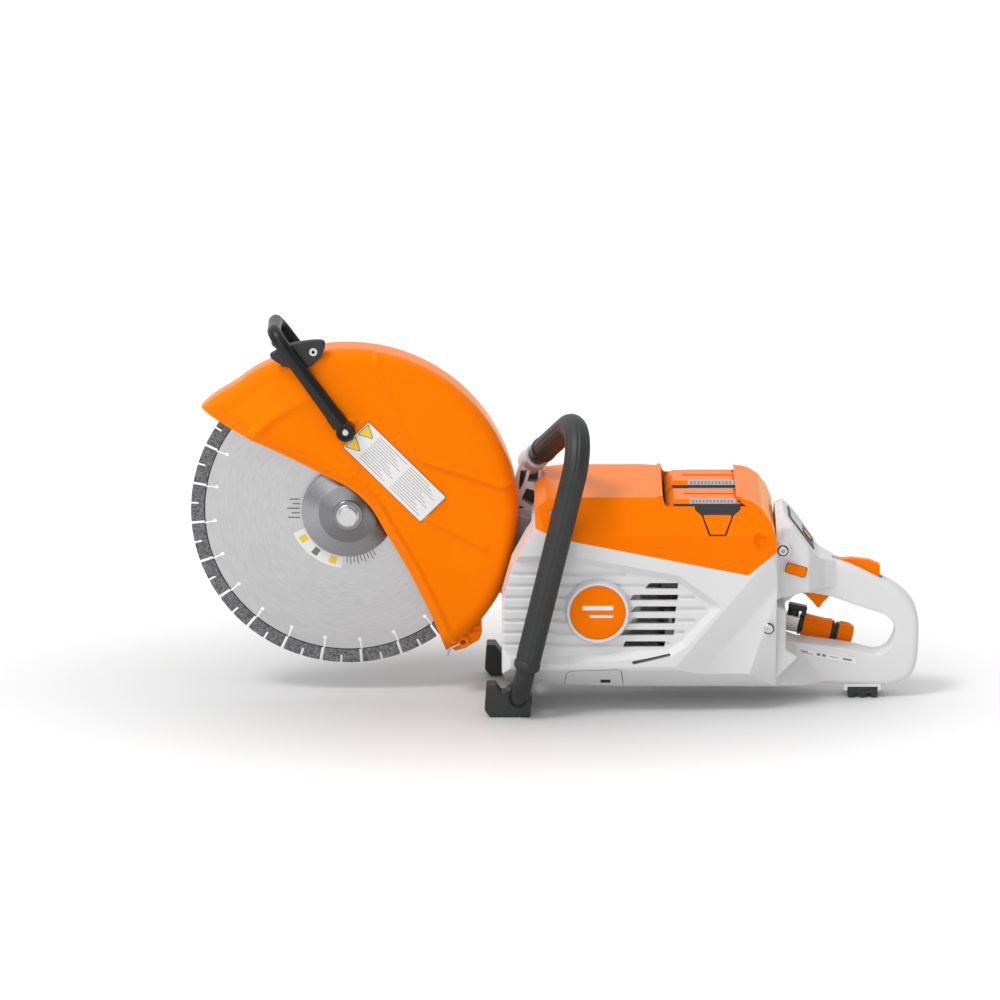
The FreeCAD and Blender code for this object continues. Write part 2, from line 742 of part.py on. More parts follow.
def top_cover():
    """Orange cover over the body's top, cut out for the two batteries and their latches."""
    rear = size("body_rear")
    seam = size("seam_front")
    sink = size("seam_rear")
    top = size("cover_top")
    wall = size("shell_wall")
    half = size("half_width")
    side = [
        (208, seam), (207, 24), (216, top - 3), (240, top), (450, top), (468, top - 9), (rear - 3, 8),
        (rear, -21), (443, sink), (251, seam - 13)]
    inside = [
        (211, seam - 16), (210, 23), (217.5, top - 6), (241, top - wall), (448, top - wall),
        (465.5, top - 11), (rear - 6, 7), (rear - 3, -40), (443, sink - 20), (251, seam - 32)]
    section = [(-half, -70), (-half, -3), (-77, 40), (77, 40), (half, -3), (half, -70)]
    plan = [
        (200, -72), (220, -92), (480, -92), (480, 92), (226, 92), (214, 80), (214, 44), (200, 36)]
    outer = shared("cover_outer",
                   prism("cover_side", "side", [side], -half, half),
                   prism("cover_plan", "plan", [plan], -80, 70),
                   prism("cover_section", "front", [section], 190, 490))
    inner = shared("cover_inner",
                   prism("cover_side_in", "side", [inside], -half, half),
                   prism("cover_plan_in", "plan", [plan], -80, 70, wall),
                   prism("cover_section_in", "front", [section], 190, 490, wall))
    reach = size("battery_gap") / 2 + size("battery_wide") + 2.2
    front = size("battery_front") - 2.5
    back = size("battery_front") + size("battery_long") + 2.5
    mouth = box("battery_mouth", (front, -reach, -2), (back, reach, 70))
    notches = [
        box("latch_notch_near", (391.5, -100, -3), (426.5, -75, 70)),
        box("latch_notch_far", (391.5, 75, -3), (426.5, 100, 70)),
    ]
    return cut("cover_shell", outer, inner, mouth, *notches)


def battery_latch(side):
    """Release latch in the cover's side, level with the sloping side."""
    face = [(-91.3, -1.5), (-84.6, 18), (-81.6, 18), (-88.3, -1.5)]
    if side > 0:
        face = [(-a, b) for a, b in face]
    name = "latch_far" if side > 0 else "latch_near"
    shape = [(401, -1.5), (417, -1.5), (425, 18), (393, 18)]
    low, high = (80, 95) if side > 0 else (-95, -80)
    return shared(name, prism(name + "_side", "side", [shape], low, high),
                  prism(name + "_section", "front", [face], 380, 440))


def battery(side):
    """Battery pack with a bevelled outer top edge."""
    inner = size("battery_gap") / 2
    outer = inner + size("battery_wide")
    low = size("battery_low")
    high = size("battery_high")
    face = [(outer, low), (outer, high - 24), (outer - 8, high), (inner, high), (inner, low)]
    if side < 0:
        face = [(-across, up) for across, up in face]
    name = "battery_far" if side > 0 else "battery_near"
    front = size("battery_front")
    return prism(name, "front", [face], front, front + size("battery_long"))


def battery_bay():
    """Open tray that the batteries stand in."""
    inner = size("battery_gap") / 2 - 2
    outer = size("battery_gap") / 2 + size("battery_wide") + 2
    front = size("battery_front") - 2
    back = size("battery_front") + size("battery_long") + 2
    low = size("battery_low") - 4
    tray = box("bay_block", (front - 2, -outer - 2, low - 2), (back + 2, outer + 2, -2.3))
    wells = [
        box("bay_well_far", (front, inner, low), (back, outer, 20)),
        box("bay_well_near", (front, -outer, low), (back, -inner, 20)),
    ]
    return cut("bay", tray, *wells)


# ---- rear handle ----

HANDLE_SIDE = [
    (475, 5), (483, 11), (523, -43), (540, -50), (560, -56), (592, -72), (612, -83), (627, -98), (634, -114),
    (635.5, -128), (634.5, -160), (631, -176), (622, -188), (600, -195), (475, -190),
]
HANDLE_OPENING = [
    (484, -98), (491, -96), (505, -87), (538, -92), (556, -98.5), (581, -107), (597, -112.5), (606, -121),
    (609, -131), (606, -144), (600, -153), (590, -158), (579, -157), (555, -151), (500, -144), (484, -140),
]


def handle_parts():
    """Rear handle shells, controls, panel and pins."""
    half = size("handle_half")
    wall = size("shell_wall")
    plan = [(475, -62), (481, -50), (511, -50), (532, -24), (545, -half), (640, -half),
            (640, half), (545, half), (532, 24), (511, 50), (481, 50), (475, 62)]
    outer = shared("handle_outer",
                   prism("handle_side", "side", [HANDLE_SIDE], -70, 70),
                   prism("handle_plan", "plan", [plan], -230, 70))
    inner = shared("handle_inner",
                   prism("handle_side_in", "side", [HANDLE_SIDE], -70, 70, wall),
                   prism("handle_plan_in", "plan", [plan], -230, 70, wall))
    rail_cuts = [
        box("rail_cut_near", (484, -80, -230), (660, -half, -99)),
        box("rail_cut_far", (484, half, -230), (660, 80, -99)),
    ]
    inner_cuts = [
        box("rail_wall_near", (481, -80, -230), (660, wall - half, -96)),
        box("rail_wall_far", (481, half - wall, -230), (660, 80, -96)),
    ]
    opening = prism("handle_opening", "side", [HANDLE_OPENING], -80, 80)
    opening_wall = prism("handle_opening_wall", "side", [HANDLE_OPENING], -80, 80, -wall)
    outer = cut("handle_trimmed", outer, opening, *rail_cuts)
    inner = cut("handle_hollow", inner, opening_wall, *inner_cuts)
    ribs = joined("trigger_ribs", box("rib_near", (500, -11, -92), (514, -8, -66)),
                  box("rib_far", (500, 8, -92), (514, 11, -66)))
    ribs = cut("ribs_in_shell", ribs, opening)
    openings = [
        box("trigger_slot", (498.5, -7, -110), (542, 7, -83)),
        box("lever_slot", (538.5, -6.3, -80), (595, 6.3, -40)),
        rod("pin_hole_trigger", 2, -13, 13, 507, -76),
        panel_block("panel_seat", 7, 55, 25.2, -2.5, 6),
        panel_rod("button_hole", 8, -12, 0),
        unlock_block("unlock_hole", 12, 6, -60, -40),
        water_rod("pipe_hole_handle", 7, -16, 6),
    ]
    shell = cut("handle_shell", joined("handle_solid", cut("handle_skin", outer, inner), ribs), *openings)
    return halves("handle", shell, 470, 660)


def panel_block(name, start, end, half, low, high):
    """A block on the slope of the control panel: start and end down the slope, low and high above it."""
    solid = doc.addObject("Part::Box", name)
    turn = FreeCAD.Rotation(Y, plain("panel_tilt"))
    corner = FreeCAD.Vector(485, 0, 8.5) + turn.multVec(FreeCAD.Vector(start, -half, low))
    solid.Placement = FreeCAD.Placement(corner, turn)
    bind(solid, Length=end - start, Width=half * 2, Height=high - low)
    return solid


def panel_rod(name, radius, low, high):
    """A cylinder square to the control panel, where the power button sits."""
    solid = doc.addObject("Part::Cylinder", name)
    turn = FreeCAD.Rotation(Y, plain("panel_tilt"))
    foot = FreeCAD.Vector(485, 0, 8.5) + turn.multVec(FreeCAD.Vector(42, 0, low))
    solid.Placement = FreeCAD.Placement(foot, turn)
    bind(solid, Radius=radius, Height=high - low)
    return solid


def unlock_block(name, half_long, half_tall, low, high):
    """A block with the unlock button's tilt, from Y low to high."""
    solid = doc.addObject("Part::Box", name)
    turn = FreeCAD.Rotation(Y, 17)
    corner = FreeCAD.Vector(497, 0, -52) + turn.multVec(FreeCAD.Vector(-half_long, low, -half_tall))
    solid.Placement = FreeCAD.Placement(corner, turn)
    bind(solid, Length=half_long * 2, Width=high - low, Height=half_tall * 2)
    return solid


def controls():
    """Panel, buttons, trigger, lock-out lever and their pins."""
    plate_block = panel_block("panel_plate", 7.3, 54.7, 25, -2.5, -0.5)
    part("control_panel", cut("panel", plate_block, panel_rod("panel_hole", 7.3, -6, 4)))
    part("power_button", panel_rod("power_key", 7, -5, 1.2))
    part("unlock_button", unlock_block("unlock_key", 11.5, 5.5, -52, -44))
    trigger = [(502, -70), (512, -70), (538, -84), (537, -93), (529, -101), (524, -109), (517, -100),
               (509, -92), (502, -89)]
    part("trigger", plate("trigger_body", [trigger, ("circle", 507, -76, 2.05)], -6, 6))
    lever = [(541, -56), (548, -51.5), (560, -50.5), (580, -53), (592, -58), (592, -76), (575, -73),
             (550, -68), (541, -66)]
    part("lockout_lever", plate("lever_body", [lever, ("circle", 546, -61, 2.05)], -5.5, 5.5))
    pins = [rod("trigger_pin", 2, -13, 13, 507, -76), rod("lever_pin", 2, -14.4, 14.4, 546, -61)]
    part("control_pins", joined("pins", *pins))


# ---- front handle, bracket and feet ----

def front_handle():
    """Bent tube with its rubber grip, the bracket that holds its far end, and the feet it stands in."""
    side = plain("handle_side")
    low = plain("tube_low")
    under = FreeCAD.Vector(188, 96, low)
    corner = FreeCAD.Vector(188, side, low)
    top = FreeCAD.Vector(269, side, 149)
    end = FreeCAD.Vector(204, 60, 45)
    outer = plain("tube_radius")
    part("front_handle_tube", feature("handle_tube", pipe([under, corner, top, end], [32, 45], outer,
                                                          outer - plain("tube_wall"))))
    leg = (top - corner).normalize()
    run = (end - top).normalize()
    grip_start = corner + leg * 42
    grip_end = top + run * 171
    part("front_handle_grip", feature("handle_grip", pipe([grip_start, top, grip_end], [45],
                                                          plain("grip_radius"), outer)))

    socket = Part.makeCylinder(14, 24, end - run * 19, run)
    web = [(190, -6), (212, -6), (212, 36), (206, 46), (190, 46)]
    plate_solid = prism("bracket_plate", "side", [web], 48, 66)
    windows = [
        prism("bracket_window_low", "side", [[(194, 0), (208, 0), (208, 12)]], 40, 70),
        prism("bracket_window_mid", "side", [[(194, 4), (206, 14), (194, 22)]], 40, 62),
    ]
    body = joined("bracket_solid", cut("bracket_web", plate_solid, *windows),
                  feature("bracket_socket", socket))
    hole = feature("bracket_hole", Part.makeCylinder(outer + 0.01, 60, end - run * 60, run))
    clear = prism("bracket_clear", "side", [[(150, -60), (260, -60), (260, 120), (150, 120)]], 66, 90)
    part("handle_bracket", cut("bracket", body, hole, clear))

    shape = [(152, -200), (158, -208), (203, -208), (203, -181), (170, -181), (164, -172), (154, -172)]
    shape = [(across, size("floor_down") if up == -208 else up) for across, up in shape]
    feet = joined("feet_solid", prism("foot_near", "side", [shape], -100, -75),
                  prism("foot_far", "side", [shape], 76, 101))
    hole = feature("feet_hole", pipe([under, corner, top, end], [32, 45], outer, 0))
    part("front_feet", cut("feet", feet, hole))


def rear_foot():
    """Ribbed rubber foot under the rear handle."""
    floor = size("floor_down")
    shape = [
        (557, -193.4), (590, -194.7), (590, floor + 2), (587, floor), (584, floor), (582, floor + 4),
        (578, floor + 4), (576, floor), (571, floor), (569, floor + 4), (565, floor + 4), (563, floor),
        (560, floor), (557, floor + 2)]
    return plate("rear_foot_body", [shape], -17, 17)


# ---- water fitting ----

def water_place(along, side=0, up=0):
    """A place in the water line's own sloping frame."""
    turn = FreeCAD.Rotation(Y, plain("water_slope"))
    start = FreeCAD.Vector(484, plain("water_side"), -131.2)
    return start + turn.multVec(FreeCAD.Vector(along, side, up))


def water_rod(name, radius, start, end):
    """A cylinder along the water line."""
    solid = doc.addObject("Part::Cylinder", name)
    turn = FreeCAD.Rotation(Y, plain("water_slope")) * FreeCAD.Rotation(Y, 90)
    solid.Placement = FreeCAD.Placement(water_place(start), turn)
    bind(solid, Radius=radius, Height=of(end) - start)
    return solid


def water_line():
    """Valve with its lever, coupling body, sliding sleeve and nut."""
    turn = FreeCAD.Rotation(Y, plain("water_slope"))
    block = doc.addObject("Part::Box", "valve_block")
    block.Placement = FreeCAD.Placement(water_place(2, -9, -9), turn)
    bind(block, Length=18, Width=18, Height=18)
    part("valve_body", joined("valve", block, water_rod("valve_pipe", 7, -16, 3)))

    hub = doc.addObject("Part::Cylinder", "valve_hub")
    hub.Placement = FreeCAD.Placement(water_place(11, 0, 9.3), turn)
    bind(hub, Radius=6.5, Height=7)
    blade = doc.addObject("Part::Box", "valve_blade")
    blade.Placement = FreeCAD.Placement(water_place(4, -6.5, 15), turn)
    bind(blade, Length=21, Width=13, Height=6)
    part("valve_lever", joined("lever_of_valve", hub, blade))

    sleeve = size("sleeve_radius")
    core = joined("coupling_solid", water_rod("coupling_ring", 12, 20, 23),
                  water_rod("coupling_core", 10, 22, 64))
    part("coupling_body", cut("coupling", core, water_rod("coupling_bore", 5, 18, 70)))
    part("coupling_sleeve", cut("sleeve", water_rod("sleeve_round", sleeve, 24, 56),
                                water_rod("sleeve_hole", 10.35, 20, 60)))
    part("coupling_nut", cut("nut", water_rod("nut_round", sleeve, 64, 81),
                             water_rod("nut_hole", size("hose_bore"), 60, 90)))


# ---- small pieces ----

def screw_rods(name, places, radius, low, high):
    """Screws along Y on the near side, and their mirror images on the far side."""
    rods = []
    for i, (across, up) in enumerate(places):
        rods.append(rod(f"{name}_near_{i}", radius, low, high, across, up))
        rods.append(rod(f"{name}_far_{i}", radius, -of(high), -of(low), across, up))
    return rods


def electronics():
    """Controller with a finned heat sink, and the battery terminals."""
    block = box("controller_block", (352, -62, -150), (460, 32, -112))
    fins = [box(f"fin_{i}", (356 + 12 * i, -62, -112.5), (360 + 12 * i, 32, -98)) for i in range(9)]
    part("controller", joined("controller_set", block, *fins))
    low = size("battery_low") - 4
    terminals = [
        box("terminal_near", (395, -55, low), (425, -31, low + 3.6)),
        box("terminal_far", (395, 31, low), (425, 55, low + 3.6)),
    ]
    part("battery_terminals", joined("terminals", *terminals))


# ---- assembly ----

clamping()
spindle()
part("wheel_core", wheel_core())
part("wheel_segments", wheel_segments())
belt_shell = drive_side()
motor()
guard()

near_half, far_half = housing()
near_grip, far_grip = handle_parts()
cover = top_cover()

arm_places = [(-25, 12), (-22, -30), (150, -20), (128, -76), (300, -52), (270, -132)]
arm_screws = [
    rod(f"arm_screw_{i}", 3, size("drive_far") - 4, size("drive_far") + 1.5, across, up)
    for i, (across, up) in enumerate(arm_places)]
grip_screws = screw_rods("grip_screw", [(482, -27), (466, -113)], 5, -66, -46)
cover_screws = [rod("cover_screw_near", 3.5, -88, -70, 226, 22), rod("cover_screw_far", 3.5, 70, 88, 232, 22)]

part("belt_cover", cut("belt_cover_drilled", belt_shell, *arm_screws))
part("housing_left", cut("housing_left_drilled", near_half, *grip_screws))
part("housing_right", cut("housing_right_drilled", far_half, water_rod("pipe_hole_housing", 7, -20, 0),
                          *grip_screws))
part("rear_handle_left", cut("grip_left_drilled", near_grip, *grip_screws))
part("rear_handle_right", cut("grip_right_drilled", far_grip, *grip_screws))
part("top_cover", cut("cover_drilled", cover, *cover_screws))
part("belt_cover_screws", joined("arm_screw_set", *arm_screws))
part("handle_screws", joined("grip_screw_set", *grip_screws))
part("cover_screws", joined("cover_screw_set", *cover_screws))

part("service_cover", service_cover())
part("badge_disc", turned("badge", [(-94.5, 0), (-94.5, 35.4), (-92, 35.4), (-92, 0)],
                          size("motor_across"), size("motor_down")))
part("battery_bay", battery_bay())
part("battery_left", battery(-1))
part("battery_right", battery(1))
part("battery_latch_left", battery_latch(-1))
part("battery_latch_right", battery_latch(1))
electronics()
controls()
front_handle()
part("rear_foot", rear_foot())
part("type_plate", plate("type_plate_body", [[(497, -150), (566, -163), (566, -169), (497, -156)]],
                         -size("handle_half") - 0.6, -size("handle_half")))
water_line()

doc.recompute()

# The row's origin is the middle of the footprint, on the floor.
for thing in subparts:
    middle = thing.Placement.Base
    across, up = homes.get(thing.Name, (middle.x, middle.z))
    bind(thing, **{
        "Placement.Base.x": size("home_across") + across,
        "Placement.Base.y": size("home_side") + middle.y,
        "Placement.Base.z": size("home_up") + up})
doc.recompute()
whole = FreeCAD.BoundBox()
for thing in subparts:
    whole.add(thing.Shape.optimalBoundingBox(False))
home = {"home_across": -whole.Center.x, "home_side": -whole.Center.y, "home_up": -whole.ZMin}
for alias, amount in home.items():
    sheet.set(sheet.getCellFromAlias(alias), str(round(amount, 2)))
doc.recompute()

for thing in doc.Objects:
    if {"Invalid", "Error"} & set(thing.State):
        raise RuntimeError(f"{thing.Label} failed: {thing.State}")
for thing in subparts:
    if thing.Shape.isNull() or not thing.Shape.isValid() or not thing.Shape.Solids:
        raise RuntimeError(f"{thing.Label} has no valid shape")

os.makedirs("parts", exist_ok=True)
for thing in subparts:
    thing.Shape.exportStep(f"parts/{thing.Label}.step")
    print(thing.Label, len(thing.Shape.Solids), round(thing.Shape.Volume))
print("home", sheet.get("home_across"), sheet.get("home_side"), sheet.get("home_up"), "pieces", len(subparts))
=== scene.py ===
import json
import math

import bmesh
import bpy
import numpy as np
from mathutils import Matrix, Vector


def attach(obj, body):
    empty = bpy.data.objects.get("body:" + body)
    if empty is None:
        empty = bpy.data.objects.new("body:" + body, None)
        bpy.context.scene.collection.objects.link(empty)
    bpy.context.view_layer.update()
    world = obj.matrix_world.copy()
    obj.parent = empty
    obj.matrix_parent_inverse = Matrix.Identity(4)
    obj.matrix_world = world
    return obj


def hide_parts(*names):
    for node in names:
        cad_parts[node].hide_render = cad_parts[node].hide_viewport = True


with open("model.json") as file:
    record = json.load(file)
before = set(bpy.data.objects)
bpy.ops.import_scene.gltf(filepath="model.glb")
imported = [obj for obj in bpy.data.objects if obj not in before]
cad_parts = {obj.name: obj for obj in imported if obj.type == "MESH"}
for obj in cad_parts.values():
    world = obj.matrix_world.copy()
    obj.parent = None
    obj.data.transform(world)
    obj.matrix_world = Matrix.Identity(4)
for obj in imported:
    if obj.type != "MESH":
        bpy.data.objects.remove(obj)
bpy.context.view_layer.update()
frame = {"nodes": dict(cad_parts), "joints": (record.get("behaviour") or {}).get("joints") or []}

# Battery-powered rescue saw. Shapes are drawn in millimetres from the spindle's axis and the middle
# plane, +X to the rear handle, +Y to the belt side, +Z up, and moved into the row's frame at the end.

HOME = Vector(next(j for j in frame["joints"] if j["name"] == "spindle_spin")["pos_m"])
TO_ROW = Matrix.Translation(HOME) @ Matrix.Scale(0.001, 4)
Y_AXIS = Vector((0, 1, 0))


# ---- mesh tools ----

def solid(name, points, faces):
    """A mesh object from points in millimetres, with its faces turned outwards."""
    mesh = bpy.data.meshes.new(name)
    mesh.from_pydata([tuple(p) for p in points], [], faces)
    obj = bpy.data.objects.new(name, mesh)
    bpy.context.scene.collection.objects.link(obj)
    tidy(obj)
    return obj


def tidy(obj, merge=0.001, flat=None):
    """Merges doubled points, dissolves flat joins if flat is an angle, and turns the faces outwards."""
    work = bmesh.new()
    work.from_mesh(obj.data)
    bmesh.ops.remove_doubles(work, verts=work.verts, dist=merge)
    bmesh.ops.dissolve_degenerate(work, dist=merge, edges=work.edges)
    if flat:
        bmesh.ops.dissolve_limit(work, angle_limit=math.radians(flat), verts=work.verts, edges=work.edges)
    bmesh.ops.recalc_face_normals(work, faces=work.faces)
    work.to_mesh(obj.data)
    work.free()
    return obj


def settle(obj):
    """Applies the modifiers to the mesh."""
    bpy.context.view_layer.update()
    seen = obj.evaluated_get(bpy.context.evaluated_depsgraph_get())
    mesh = bpy.data.meshes.new_from_object(seen)
    old = obj.data
    obj.modifiers.clear()
    obj.data = mesh
    bpy.data.meshes.remove(old)
    return obj


def combine(kind, base, *tools):
    """Cuts, joins or intersects base with the tools, which are used up."""
    for tool in tools:
        change = base.modifiers.new("combine", "BOOLEAN")
        change.operation = kind
        change.solver = "EXACT"
        change.object = tool
    settle(base)
    for tool in tools:
        bpy.data.objects.remove(tool)
    return base


def cut(base, *tools):
    return combine("DIFFERENCE", base, *tools)


def add(base, *tools):
    return combine("UNION", base, *tools)


def common(base, *tools):
    return combine("INTERSECT", base, *tools)


def copy_of(obj):
    other = obj.copy()
    other.data = obj.data.copy()
    bpy.context.scene.collection.objects.link(other)
    return other


def bevelled(obj, width, segments=3, angle=30):
    change = obj.modifiers.new("bevel", "BEVEL")
    change.width = width
    change.segments = segments
    change.limit_method = "ANGLE"
    change.angle_limit = math.radians(angle)
    return settle(obj)


def melted(obj, voxel, rounds, factor=0.5):
    """Remeshes evenly and smooths, for moulded shapes that flow into each other."""
    change = obj.modifiers.new("remesh", "REMESH")
    change.mode = "VOXEL"
    change.voxel_size = voxel
    change.adaptivity = 0
    soft = obj.modifiers.new("smooth", "SMOOTH")
    soft.iterations = rounds
    soft.factor = factor
    return settle(obj)


PLANES = {
    "side": lambda a, b, d: (a, d, b),
    "plan": lambda a, b, d: (a, b, d),
    "front": lambda a, b, d: (d, a, b),
}


def prism(name, plane, outline, low, high, top=None):
    """A prism on an outline drawn from the side (X, Z), in plan (X, Y) or from the front (Y, Z).
    top is the outline at high, if it isn't the same."""
    place = PLANES[plane]
    count = len(outline)
    points = [place(a, b, low) for a, b in outline] + [place(a, b, high) for a, b in (top or outline)]
    faces = [list(range(count)), list(range(count, 2 * count))]
    for i in range(count):
        j = (i + 1) % count
        faces.append((i, j, count + j, count + i))
    return solid(name, points, faces)


def box(name, low, high):
    corners = [(low[0], low[2]), (high[0], low[2]), (high[0], high[2]), (low[0], high[2])]
    return prism(name, "side", corners, low[1], high[1])


def rounded(corners, radius, steps=5):
    """The outline with each corner rounded. A corner may carry its own radius as a third number."""
    outline = []
    count = len(corners)
    for i in range(count):
        here = Vector(corners[i][:2])
        size = corners[i][2] if len(corners[i]) > 2 else radius
        before = Vector(corners[i - 1][:2]) - here
        after = Vector(corners[(i + 1) % count][:2]) - here
        cosine = max(-1, min(1, before.normalized().dot(after.normalized())))
        half = math.acos(cosine) / 2
        if size <= 0 or half < 0.02 or half > math.pi / 2 - 0.02:
            outline.append(tuple(here))
            continue
        reach = min(size / math.tan(half), 0.48 * before.length, 0.48 * after.length)
        size = reach * math.tan(half)
        start = here + before.normalized() * reach
        stop = here + after.normalized() * reach
        middle = here + (before.normalized() + after.normalized()).normalized() * (size / math.sin(half))
        for k in range(steps + 1):
            share = k / steps
            angle = (math.pi - 2 * half) * share
            # between the two tangent points, on the circle about the middle
            a = start - middle
            b = stop - middle
            whole = math.pi - 2 * half
            arm = (a * math.sin(whole - angle) + b * math.sin(angle)) / math.sin(whole)
            outline.append(tuple(middle + arm))
    return outline


def curved(points, steps=6, closed=True):
    """A smooth outline through the points."""
    outline = []
    count = len(points)
    for i in range(count if closed else count - 1):
        p = [Vector(points[(i + k) % count] if closed else points[min(max(i + k, 0), count - 1)])
             for k in (-1, 0, 1, 2)]
        for k in range(steps):
            s = k / steps
            outline.append(tuple(0.5 * (
                2 * p[1] + (p[2] - p[0]) * s + (2 * p[0] - 5 * p[1] + 4 * p[2] - p[3]) * s * s
                + (3 * p[1] - p[0] - 3 * p[2] + p[3]) * s ** 3)))
    if not closed:
        outline.append(tuple(points[-1]))
    return outline


def lathe(name, profile, middle=(0, 0, 0), axis=Y_AXIS, steps=96, start=0.0, turn=360.0, shape=None):
    """Turns a closed profile of (along the axis, radius) about the axis.
    shape(angle, along) scales the radius."""
    axis = Vector(axis).normalized()
    side = axis.orthogonal().normalized() if abs(axis.y) < 0.99 else Vector((1, 0, 0))
    other = Vector((0, 0, 1)) if abs(axis.y) > 0.99 else axis.cross(side)
    whole = turn >= 360
    rings = steps if whole else steps + 1
    points = []
    for i in range(rings):
        angle = math.radians(start + turn * i / steps)
        out = side * math.cos(angle) + other * math.sin(angle)
        for along, radius in profile:
            scale = shape(angle, along) if shape else 1
            points.append(Vector(middle) + axis * along + out * radius * scale)
    count = len(profile)
    faces = []
    for i in range(rings if whole else rings - 1):
        j = (i + 1) % rings
        for k in range(count):
            n = (k + 1) % count
            faces.append((i * count + k, i * count + n, j * count + n, j * count + k))
    if not whole:
        faces.append(list(range(count)))
        faces.append([(rings - 1) * count + k for k in range(count)])
    return solid(name, points, faces)


def route(points, radii, step=5):
    """Points along straight runs joined by tangent arcs, one radius for each inner point."""
    points = [Vector(p) for p in points]
    line = [points[0]]
    for i in range(1, len(points) - 1):
        corner = points[i]
        back = (points[i - 1] - corner).normalized()
        ahead = (points[i + 1] - corner).normalized()
        half = math.acos(max(-1, min(1, back.dot(ahead)))) / 2
        reach = radii[i - 1] / math.tan(half)
        middle = corner + (back + ahead).normalized() * radii[i - 1] / math.sin(half)
        a = corner + back * reach - middle
        b = corner + ahead * reach - middle
        whole = math.pi - 2 * half
        count = max(4, round(math.degrees(whole) / step))
        for k in range(count + 1):
            angle = whole * k / count
            line.append(middle + (a * math.sin(whole - angle) + b * math.sin(angle)) / math.sin(whole))
    line.append(points[-1])
    return line


def divided(line, longest):
    """The same line with its long runs divided."""
    out = [line[0]]
    for a, b in zip(line, line[1:]):
        count = max(1, math.ceil((b - a).length / longest))
        out += [a.lerp(b, (k + 1) / count) for k in range(count)]
    return out


def sweep(name, line, radius, sides=32, shape=None):
    """A round bar along a line. radius is a number or a function of the distance along it, and
    shape(angle, distance) scales the section."""
    distance = [0.0]
    for a, b in zip(line, line[1:]):
        distance.append(distance[-1] + (b - a).length)
    along = (line[1] - line[0]).normalized()
    side = along.orthogonal().normalized()
    points = []
    for i, here in enumerate(line):
        a = line[max(i - 1, 0)]
        b = line[min(i + 1, len(line) - 1)]
        fresh = (b - a).normalized()
        side = (along.rotation_difference(fresh) @ side).normalized()
        side = (side - fresh * side.dot(fresh)).normalized()
        along = fresh
        other = along.cross(side)
        size = radius(distance[i]) if callable(radius) else radius
        for k in range(sides):
            angle = 2 * math.pi * k / sides
            scale = shape(angle, distance[i]) if shape else 1
            points.append(here + (side * math.cos(angle) + other * math.sin(angle)) * size * scale)
    faces = [list(range(sides)), [(len(line) - 1) * sides + k for k in range(sides)]]
    for i in range(len(line) - 1):
        for k in range(sides):
            n = (k + 1) % sides
            faces.append((i * sides + k, i * sides + n, (i + 1) * sides + n, (i + 1) * sides + k))
    return solid(name, points, faces)


def line_length(line):
    return sum((b - a).length for a, b in zip(line, line[1:]))


def rod(name, radius, low, high, across, up, steps=48, edge=0.0):
    """A round bar along Y, with its rims chamfered by edge."""
    profile = [(low, 0), (low, radius - edge), (low + edge, radius), (high - edge, radius),
               (high, radius - edge), (high, 0)]
    return lathe(name, profile, (across, 0, up), steps=steps)


def socket_head(radius, face, depth, across, up, socket):
    """A screw head at face that is depth thick along Y, with a six-sided socket in its outer end."""
    head = rod("head", radius, *sorted((face, face + depth)), across, up, 40, 0.6)
    reach = sorted((face - depth * 0.1, face + depth * 0.3))
    return cut(head, rod("socket", socket, *reach, across, up, 6))


def joined(name, *objs):
    """One object of several, which keep their own surfaces and materials."""
    work = bmesh.new()
    materials = []
    for obj in objs:
        offset = len(materials)
        materials += list(obj.data.materials)
        before = len(work.faces)
        work.from_mesh(obj.data)
        work.faces.ensure_lookup_table()
        for face in work.faces[before:]:
            face.material_index += offset
        bpy.data.objects.remove(obj)
    mesh = bpy.data.meshes.new(name)
    work.to_mesh(mesh)
    work.free()
    for material in materials:
        mesh.materials.append(material)
    obj = bpy.data.objects.new(name, mesh)
    bpy.context.scene.collection.objects.link(obj)
    return obj


def painted(obj, material):
    obj.data.materials.clear()
    obj.data.materials.append(material)
    for face in obj.data.polygons:
        face.material_index = 0
    return obj


def finished(obj, name, body, material=None, nodes=(), sharp=35, weighted=True):
    """Names the piece, paints it, shades it, moves it into the row's frame, hides the CAD nodes it stands in
    for and hangs it on its body.
    """
    obj.name = name
    obj.data.name = name
    if material:
        painted(obj, material)
    work = bmesh.new()
    work.from_mesh(obj.data)
    limit = math.radians(sharp)
    for edge in work.edges:
        edge.smooth = len(edge.link_faces) == 2 and edge.calc_face_angle(0) < limit
    for face in work.faces:
        face.smooth = True
    work.to_mesh(obj.data)
    work.free()
    if weighted:
        change = obj.modifiers.new("normals", "WEIGHTED_NORMAL")
        change.keep_sharp = True
        change.weight = 100
        settle(obj)
    obj.data.transform(TO_ROW)
    if nodes:
        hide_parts(*nodes)
    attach(obj, body)
    return obj


# ---- materials ----

